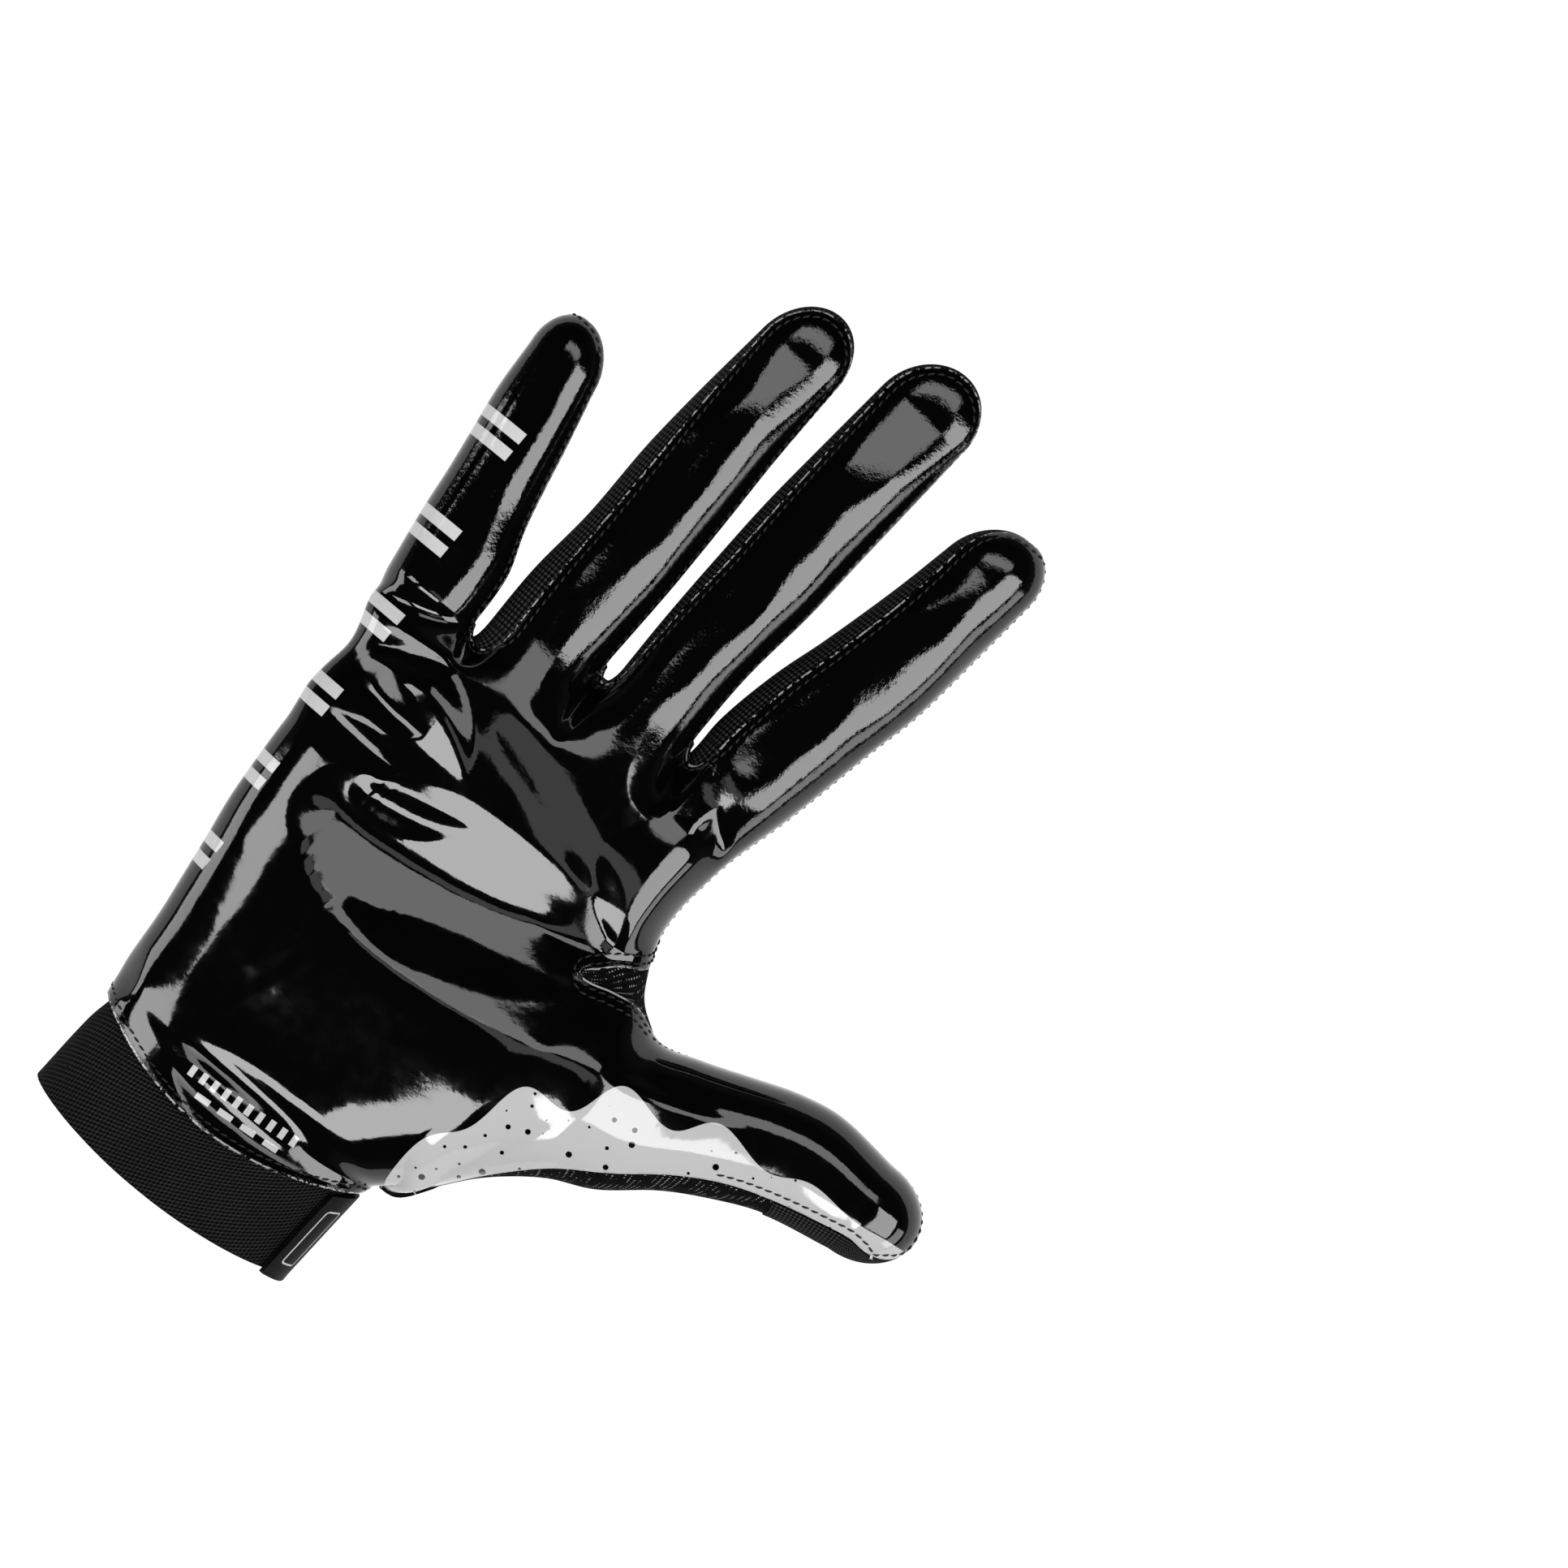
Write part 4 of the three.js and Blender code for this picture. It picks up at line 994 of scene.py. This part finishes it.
def thread():
    shader, where = new_material("stitching")
    fuzz = where.noise(3.0, 3, 0.7)
    color = fuzz.mix(grey(0.0008), grey(0.004))
    return shader.finish(color=color, roughness=0.5, specular=0.2, normal=fuzz.bump(0.08, 0.8))


MATERIALS = {
    "film": coated_film(),
    "edge": raw_edge(),
    "mesh": mesh_fabric("mesh_fabric", 2.2),
    "fine_mesh": mesh_fabric("fine_mesh", 1.7),
    "knit": speckled_knit(),
    "elastic": woven_elastic(),
    "satin": satin_tape(),
    "thread": thread(),
}


# Pieces

def with_tip(start, rows):
    """Places along a finger or the thumb and on over its tip."""
    return np.concatenate([run(start, 1, rows), run(1, 2, TIP_ROWS)[1:]])


def hand_patches(panel):
    flip = panel == "back"
    rows = run(0, KNUCKLE_ROW, KNUCKLE_ROW * FINE_ROWS)
    patches = [patch(rows, run(0, COLUMNS, COLUMNS * FINE_COLUMNS),
                     lambda row, column: palm_point(panel, row, column), flip)]
    for finger in FINGERS:
        patches.append(patch(with_tip(0, FINGER_ROWS), run(-1, 1, FINGER_COLUMNS * FINE_COLUMNS),
                             lambda v, u: finger_point(finger, panel, u, v), flip))
    return patches


def thumb_patch(panel, along):
    across = run(-1, 1, (WEB_ROW - THUMB_FIRST_ROW) * FINE_ROWS)
    return patch(along, across, lambda v, u: thumb_point(panel, u, v), panel == "palm")


def palm_folds(points):
    """Adds the folds, which grow from nothing at the low height to their full rise at the high one."""
    raised = points.copy()
    share = ease((points[:, 2] - FOLDS_LOW) / (FOLDS_HIGH - FOLDS_LOW))
    raised[:, 2] += fold_relief(points[:, 0], points[:, 1]) * share
    return raised


def palm_panel():
    patches = hand_patches("palm") + [thumb_patch("palm", with_tip(0, THUMB_ROWS))]
    made = walled("palm_film", patches, "film", PANEL_THICK, PANEL_LIFT, rounds=40,
                  shape=palm_folds, rim="edge")
    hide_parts("palm_panel")
    return made


def back_panel():
    made = walled("back_mesh", hand_patches("back"), "mesh", PANEL_THICK, BACK_LIFT,
                  rounds=30)
    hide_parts("back_panel")


def thumb_back():
    patches = [thumb_patch("back", run(0, THUMB_TIP_FROM + THUMB_LAP, THUMB_KNIT_ROWS))]
    made = walled("thumb_knit", patches, "knit", PANEL_THICK, lift=-0.35)
    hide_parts("thumb_back")


def thumb_tip_back():
    patches = [thumb_patch("back", with_tip(THUMB_TIP_FROM, THUMB_MESH_ROWS))]
    made = walled("thumb_tip_mesh", patches, "fine_mesh", PANEL_THICK)
    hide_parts("thumb_tip_back")


def fourchette(index):
    """Mesh strip down one finger's side, round the crotch and up the next finger's side."""
    left, right = FINGERS[index], FINGERS[index + 1]
    q = run(0, 1, 16)

    def side_patch(finger, side, start, end):
        return patch(run(start, end, FINGER_ROWS), q,
                     lambda at, s: finger_side_point(finger, side, at, np.nan, s, -UNDERLAP), True)

    def tip_patch(finger, side, outermost):
        # The hand's two outermost strips go on round more of their fingertips
        azimuths = run(-0.9 if outermost else 0.0, np.pi / 2, 24)
        return patch(azimuths, q, lambda a, s: finger_side_point(
            finger, side, finger.tip_start, side * a, s, -UNDERLAP), side > 0)

    patches = [
        tip_patch(left, 1, index == 0),
        side_patch(left, 1, left.tip_start, left.base_high),
        patch(run(0, 1, 30), q, lambda t, s: crotch_point(index, t, s, -UNDERLAP), True),
        side_patch(right, -1, right.base_low, right.tip_start),
        tip_patch(right, -1, index == len(CROTCHES) - 1),
    ]
    name = CROTCHES[index][0]
    made = walled("strip_" + name, patches, "mesh", STRIP_THICK, -STRIP_SINK,
                  rounds=10)
    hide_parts("fourchette_" + name)


def web_gusset():
    """Knit triangle between the thumb and the index finger."""
    def point_at(v, u):
        out = 1 - np.abs(v)
        point = np.zeros(v.shape + (3,))
        for panel, here in (("palm", v <= 0), ("back", v > 0)):
            palm_edge = palm_point(panel, lerp(WEB_ROW, NOTCH_END_ROW, out[here]), COLUMNS)
            thumb_edge = thumb_point(panel, np.ones(here.sum()), GUSSET_THUMB_END * out[here])
            width = np.linalg.norm(thumb_edge - palm_edge, axis=-1, keepdims=True)
            lap = GUSSET_LAP / np.maximum(width, GUSSET_LAP)
            edge = palm_edge + (thumb_edge - palm_edge) * lerp(-lap, 1 + lap, u[here][:, None])
            sag = (GUSSET_SAG * out[here] * np.sin(np.pi * u[here]) ** 2)[:, None]
            edge[:, :2] -= sag * math.sqrt(0.5)
            edge[:, 2] += -GUSSET_SINK if panel == "palm" else GUSSET_SINK
            point[here] = edge
        return point

    knit = patch(run(-1, 1, (NOTCH_END_ROW - WEB_ROW) * 16), run(0, 1, 24), point_at)
    # The knit's rows run the other way here
    knit[2][:, :2] = knit[2][:, 1::-1]
    made = walled("web_knit", [knit], "knit", STRIP_THICK, lift=-0.2, rounds=10)
    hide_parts("web_gusset")


def cuff_edge(angle, side, palm_bow, back_bow):
    """Place along of an edge round the cuff, with its bows on the palm and on the back."""
    out = rounded(np.sin(angle), PALM_POWER)
    return side + np.where(np.cos(angle) >= 0, palm_bow, back_bow) * (1 - out * out)


def cuff_seam_y(angle):
    bow = PALM["bow"][0]
    return cuff_edge(angle, (PALM["y_left"][0] + PALM["y_right"][0]) / 2, bow, bow * BACK_BOW)


def cuff_rim_y(angle):
    return cuff_edge(angle, CUFF_RIM_SIDE, CUFF_RIM_PALM_BOW, CUFF_RIM_BACK_BOW)


def cuff_surface(y, angle, margin, floor):
    tuck_y = cuff_seam_y(angle) + CUFF_TUCK
    share = (tuck_y - y) / (tuck_y - cuff_rim_y(angle))
    left, right, top, bottom = (read(CUFF, name, share)
                                for name in ("left", "right", "top", "bottom"))
    x = (left + right) / 2 + ((right - left) / 2 + margin) * rounded(np.sin(angle), PALM_POWER)
    up = rounded(np.cos(angle), PALM_POWER)
    return xyz(x, y, height_at(up, CUFF_SIDE_HEIGHT, top + margin, bottom - margin, floor))


def wrist_cuff():
    def point_at(share, turn):
        angle = np.pi + turn
        y = lerp(cuff_seam_y(angle) + CUFF_TUCK, cuff_rim_y(angle), share)
        return cuff_surface(y, angle, 0, CUFF_FLOOR)

    elastic = patch(run(0, 1, 60), run(0, 2 * np.pi, 320), point_at, True)
    made = walled("cuff_elastic", [elastic], "elastic", CUFF_THICK)
    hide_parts("wrist_cuff")


def closure_strap():
    def point_at(share, angle):
        y = lerp(cuff_seam_y(angle) - STRAP_UPPER_GAP, STRAP_LOWER_EDGE, share)
        return cuff_surface(y, angle, STRAP_LIFT, GROUND)

    angles = np.radians(run(STRAP_FROM, STRAP_TO, 160))
    made = walled("strap_satin", [patch(run(0, 1, 50), angles, point_at, True)], "satin",
                  STRAP_THICK)
    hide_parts("closure_strap")


# Stitches

STITCH_PITCH = 2.1
STITCH_LENGTH = 1.75
STITCH_ARCH = 0.3
STITCH_SLANT = 0.12
STITCH_SINK = 0.14
STITCH_RINGS = 6
THREAD_RADIUS = 0.24
THREAD_END = 0.55
THREAD_SIDES = 6
LINE_STEP = 0.35
LINE_ROUNDS = 6
WEB_REACH = 15.0
# The thread sinks deeper where the sheet faces sideways, below this upward part of its normal
SIDE_SINK = 0.2
SIDE_SLOPE = 0.4
# Thumb's lower edge, which has no single row: from x, to x, below y
BARE_EDGE = (28, 84, -8)


def near_web(x, y):
    return math.hypot(x - WEB_PLACE[0], y - WEB_PLACE[1]) < WEB_REACH


def seam_row(x, y):
    """The seam's single row, left out along the thumb's lower edge and round the web."""
    start, end, top = BARE_EDGE
    return not (start < x < end and y < top) and not near_web(x, y)


def line_lengths(line):
    return running(np.linalg.norm(np.diff(line, axis=0), axis=1))


def read_line(values, lengths, places):
    return np.stack([np.interp(places, lengths, values[:, k]) for k in range(3)], axis=1)


def inset_line(sheet, loop, distance):
    """Points and normals of a line on a sheet, at a distance inside one of its open edges."""
    tree = BVHTree.FromPolygons(sheet.points.tolist(), sheet.faces.tolist())
    edge = sheet.points[loop]
    tangent = np.roll(edge, -1, axis=0) - np.roll(edge, 1, axis=0)
    moved = edge + unit(np.cross(sheet.normals[loop], tangent)) * distance
    line = np.array([tree.find_nearest(place)[0] for place in moved])
    for _ in range(LINE_ROUNDS):
        line = (np.roll(line, 1, axis=0) + 2 * line + np.roll(line, -1, axis=0)) / 4
    line = np.concatenate([line, line[:1]])
    lengths = line_lengths(line)
    even = read_line(line, lengths, np.arange(0, lengths[-1], LINE_STEP))
    found = [tree.find_nearest(place)[:2] for place in even]
    return (np.array(column) for column in zip(*found))


def stitch_faces():
    """Faces of one stitch: round its rings, and its two ends."""
    rings = np.arange(STITCH_RINGS * THREAD_SIDES).reshape(STITCH_RINGS, THREAD_SIDES)
    turned = np.roll(rings, -1, axis=1)
    sides = np.stack([rings[:-1], turned[:-1], turned[1:], rings[1:]], axis=-1)
    return sides.reshape(-1, 4).tolist() + [rings[0, ::-1].tolist(), rings[-1].tolist()]


def stitch_row(line, normals, keep):
    """Rings of points for each stitch along a line."""
    lengths = line_lengths(line)
    turn = np.linspace(0, 2 * np.pi, THREAD_SIDES, endpoint=False)[None, :, None]
    arch = np.sin(np.linspace(0, np.pi, STITCH_RINGS))
    slant = np.linspace(-STITCH_SLANT, STITCH_SLANT, STITCH_RINGS)
    radius = THREAD_RADIUS * lerp(THREAD_END, 1, arch)
    row = []
    for start in np.arange(0, lengths[-1] - STITCH_LENGTH, STITCH_PITCH):
        places = start + np.linspace(0, STITCH_LENGTH, STITCH_RINGS)
        centre = read_line(line, lengths, places)
        if not keep(*centre.mean(axis=0)[:2]):
            continue
        normal = unit(read_line(normals, lengths, places))
        side = np.cross(normal, unit(centre[-1] - centre[0]))
        sunk = STITCH_SINK
        if not near_web(*centre[0, :2]):
            sunk += SIDE_SINK * (1 - ease(normal[0, 2] / SIDE_SLOPE))
        centre = centre + normal * (arch * STITCH_ARCH - sunk)[:, None] + side * slant[:, None]
        centre[:, 2] = np.maximum(centre[:, 2], GROUND + radius)
        ring = np.cos(turn) * side[:, None, :] + np.sin(turn) * normal[:, None, :]
        row.append((centre[:, None, :] + radius[:, None, None] * ring).reshape(-1, 3))
    return row


def stitches(name, sheet, rows):
    """Rows of stitches, each with its distance from the sheet's open edge and the places it keeps."""
    made = []
    for loop in sheet.loops:
        for inset, keep in rows:
            made += stitch_row(*inset_line(sheet, loop, inset), keep)
    size = STITCH_RINGS * THREAD_SIDES
    faces = [[corner + k * size for corner in face] for k in range(len(made)) for face in stitch_faces()]
    make_object(name, np.concatenate(made), faces, ["thread"])


# Set: floor, light and camera

IMAGE = 1932
PHOTO_TURN = math.radians(39.4)
PHOTO_SCALE = 5.9
PHOTO_CENTRE = (41.4, 63.4)
CAMERA_DISTANCE = 1050.0
SILHOUETTE_HEIGHT = 15.0
SENSOR = 36
FLOOR_REACH = 6000
FLOOR_HEIGHT = -0.05


def make_camera():
    data = bpy.data.cameras.new("camera")
    data.sensor_width = SENSOR
    data.lens = SENSOR * CAMERA_DISTANCE / (IMAGE / PHOTO_SCALE)
    data.clip_start = 50 * MM
    data.clip_end = 20000 * MM
    camera = add_object("camera", data)
    camera.location = Vector((*PHOTO_CENTRE, CAMERA_DISTANCE + SILHOUETTE_HEIGHT)) * MM
    camera.rotation_euler = (0, 0, PHOTO_TURN)
    bpy.context.scene.camera = camera


# Soft boxes: name, aim_x, aim_y, toward, zenith, roll, distance, width, length and radiance. They look at
# the glove. toward is the compass angle from +X, zenith the tilt from straight up and roll the turn about
# the line of sight, in degrees.
LIGHTS = [
    ("strip_thumb_side", 10, 35, 3, 40, 0, 1200, 800, 870, 8.0),
    ("strip_heel_side", -37, -16, 180, 38, -19, 400, 148, 133, 8.0),
    ("box_fingers", 10, 35, 97, 28.4, 0, 1300, 365, 890, 3.5),
    ("box_wrist", 10, 35, 264, 26, 0, 1300, 420, 880, 11.0),
    ("low_heel_side", -45, -10, 204, 73, 0, 1000, 330, 850, 5.0),
    ("low_thumb_side", 50, 60, 350, 73, 0, 1000, 330, 700, 4.0),
    ("card_crease", -18, 45, 340, 11, 0, 205, 155, 42, 1.1),
]
LIGHT_AIM_HEIGHT = 15


def make_light(name, aim_x, aim_y, toward, zenith, roll, distance, width, length, radiance):
    data = bpy.data.lights.new(name, "AREA")
    data.shape = "RECTANGLE"
    data.size = width * MM
    data.size_y = length * MM
    data.energy = radiance * math.pi * data.size * data.size_y
    a, b = math.radians(toward), math.radians(zenith)
    away = Vector((math.sin(b) * math.cos(a), math.sin(b) * math.sin(a), math.cos(b)))
    place = Matrix.Translation((Vector((aim_x, aim_y, LIGHT_AIM_HEIGHT)) + away * distance) * MM)
    facing = Matrix.Rotation(a, 4, "Z") @ Matrix.Rotation(b, 4, "Y")
    light = add_object(name, data)
    light.matrix_world = place @ facing @ Matrix.Rotation(math.radians(roll), 4, "Z")
    light.visible_camera = False


def make_set():
    mesh = bpy.data.meshes.new("floor")
    reach = FLOOR_REACH * MM
    corners = [(-reach, -reach, 0), (reach, -reach, 0), (reach, reach, 0), (-reach, reach, 0)]
    mesh.from_pydata(corners, [], [(0, 1, 2, 3)])
    shader = Shader(bpy.data.materials.new("floor"))
    mesh.materials.append(shader.finish(color=grey(0.05), roughness=0.9, specular=0.0,
                                        glow=grey(1.0), glow_strength=1.0))
    floor = add_object("floor", mesh)
    floor.location.z = FLOOR_HEIGHT * MM
    # The sky is bright at the horizon and dark overhead
    world = bpy.data.worlds.new("studio")
    bpy.context.scene.world = world
    sky = Shader(world)
    up = sky.node("ShaderNodeSeparateXYZ", {0: sky.node("ShaderNodeTexCoord", (), "Generated")}, 2)
    sky.feed(sky.tree.nodes["Background"].inputs["Strength"], up.ramp(0.1, 0.45, 1.0, 0.02))
    for row in LIGHTS:
        make_light(*row)


make_camera()
make_set()
bpy.context.scene.view_settings.view_transform = "Standard"

palm = palm_panel()
back_panel()
for crotch_index in range(len(CROTCHES)):
    fourchette(crotch_index)
web_gusset()
thumb_back()
thumb_tip_back()
wrist_cuff()
closure_strap()
stitches("palm_stitches", palm, ((1.8, seam_row), (1.3, near_web), (3.1, near_web)))
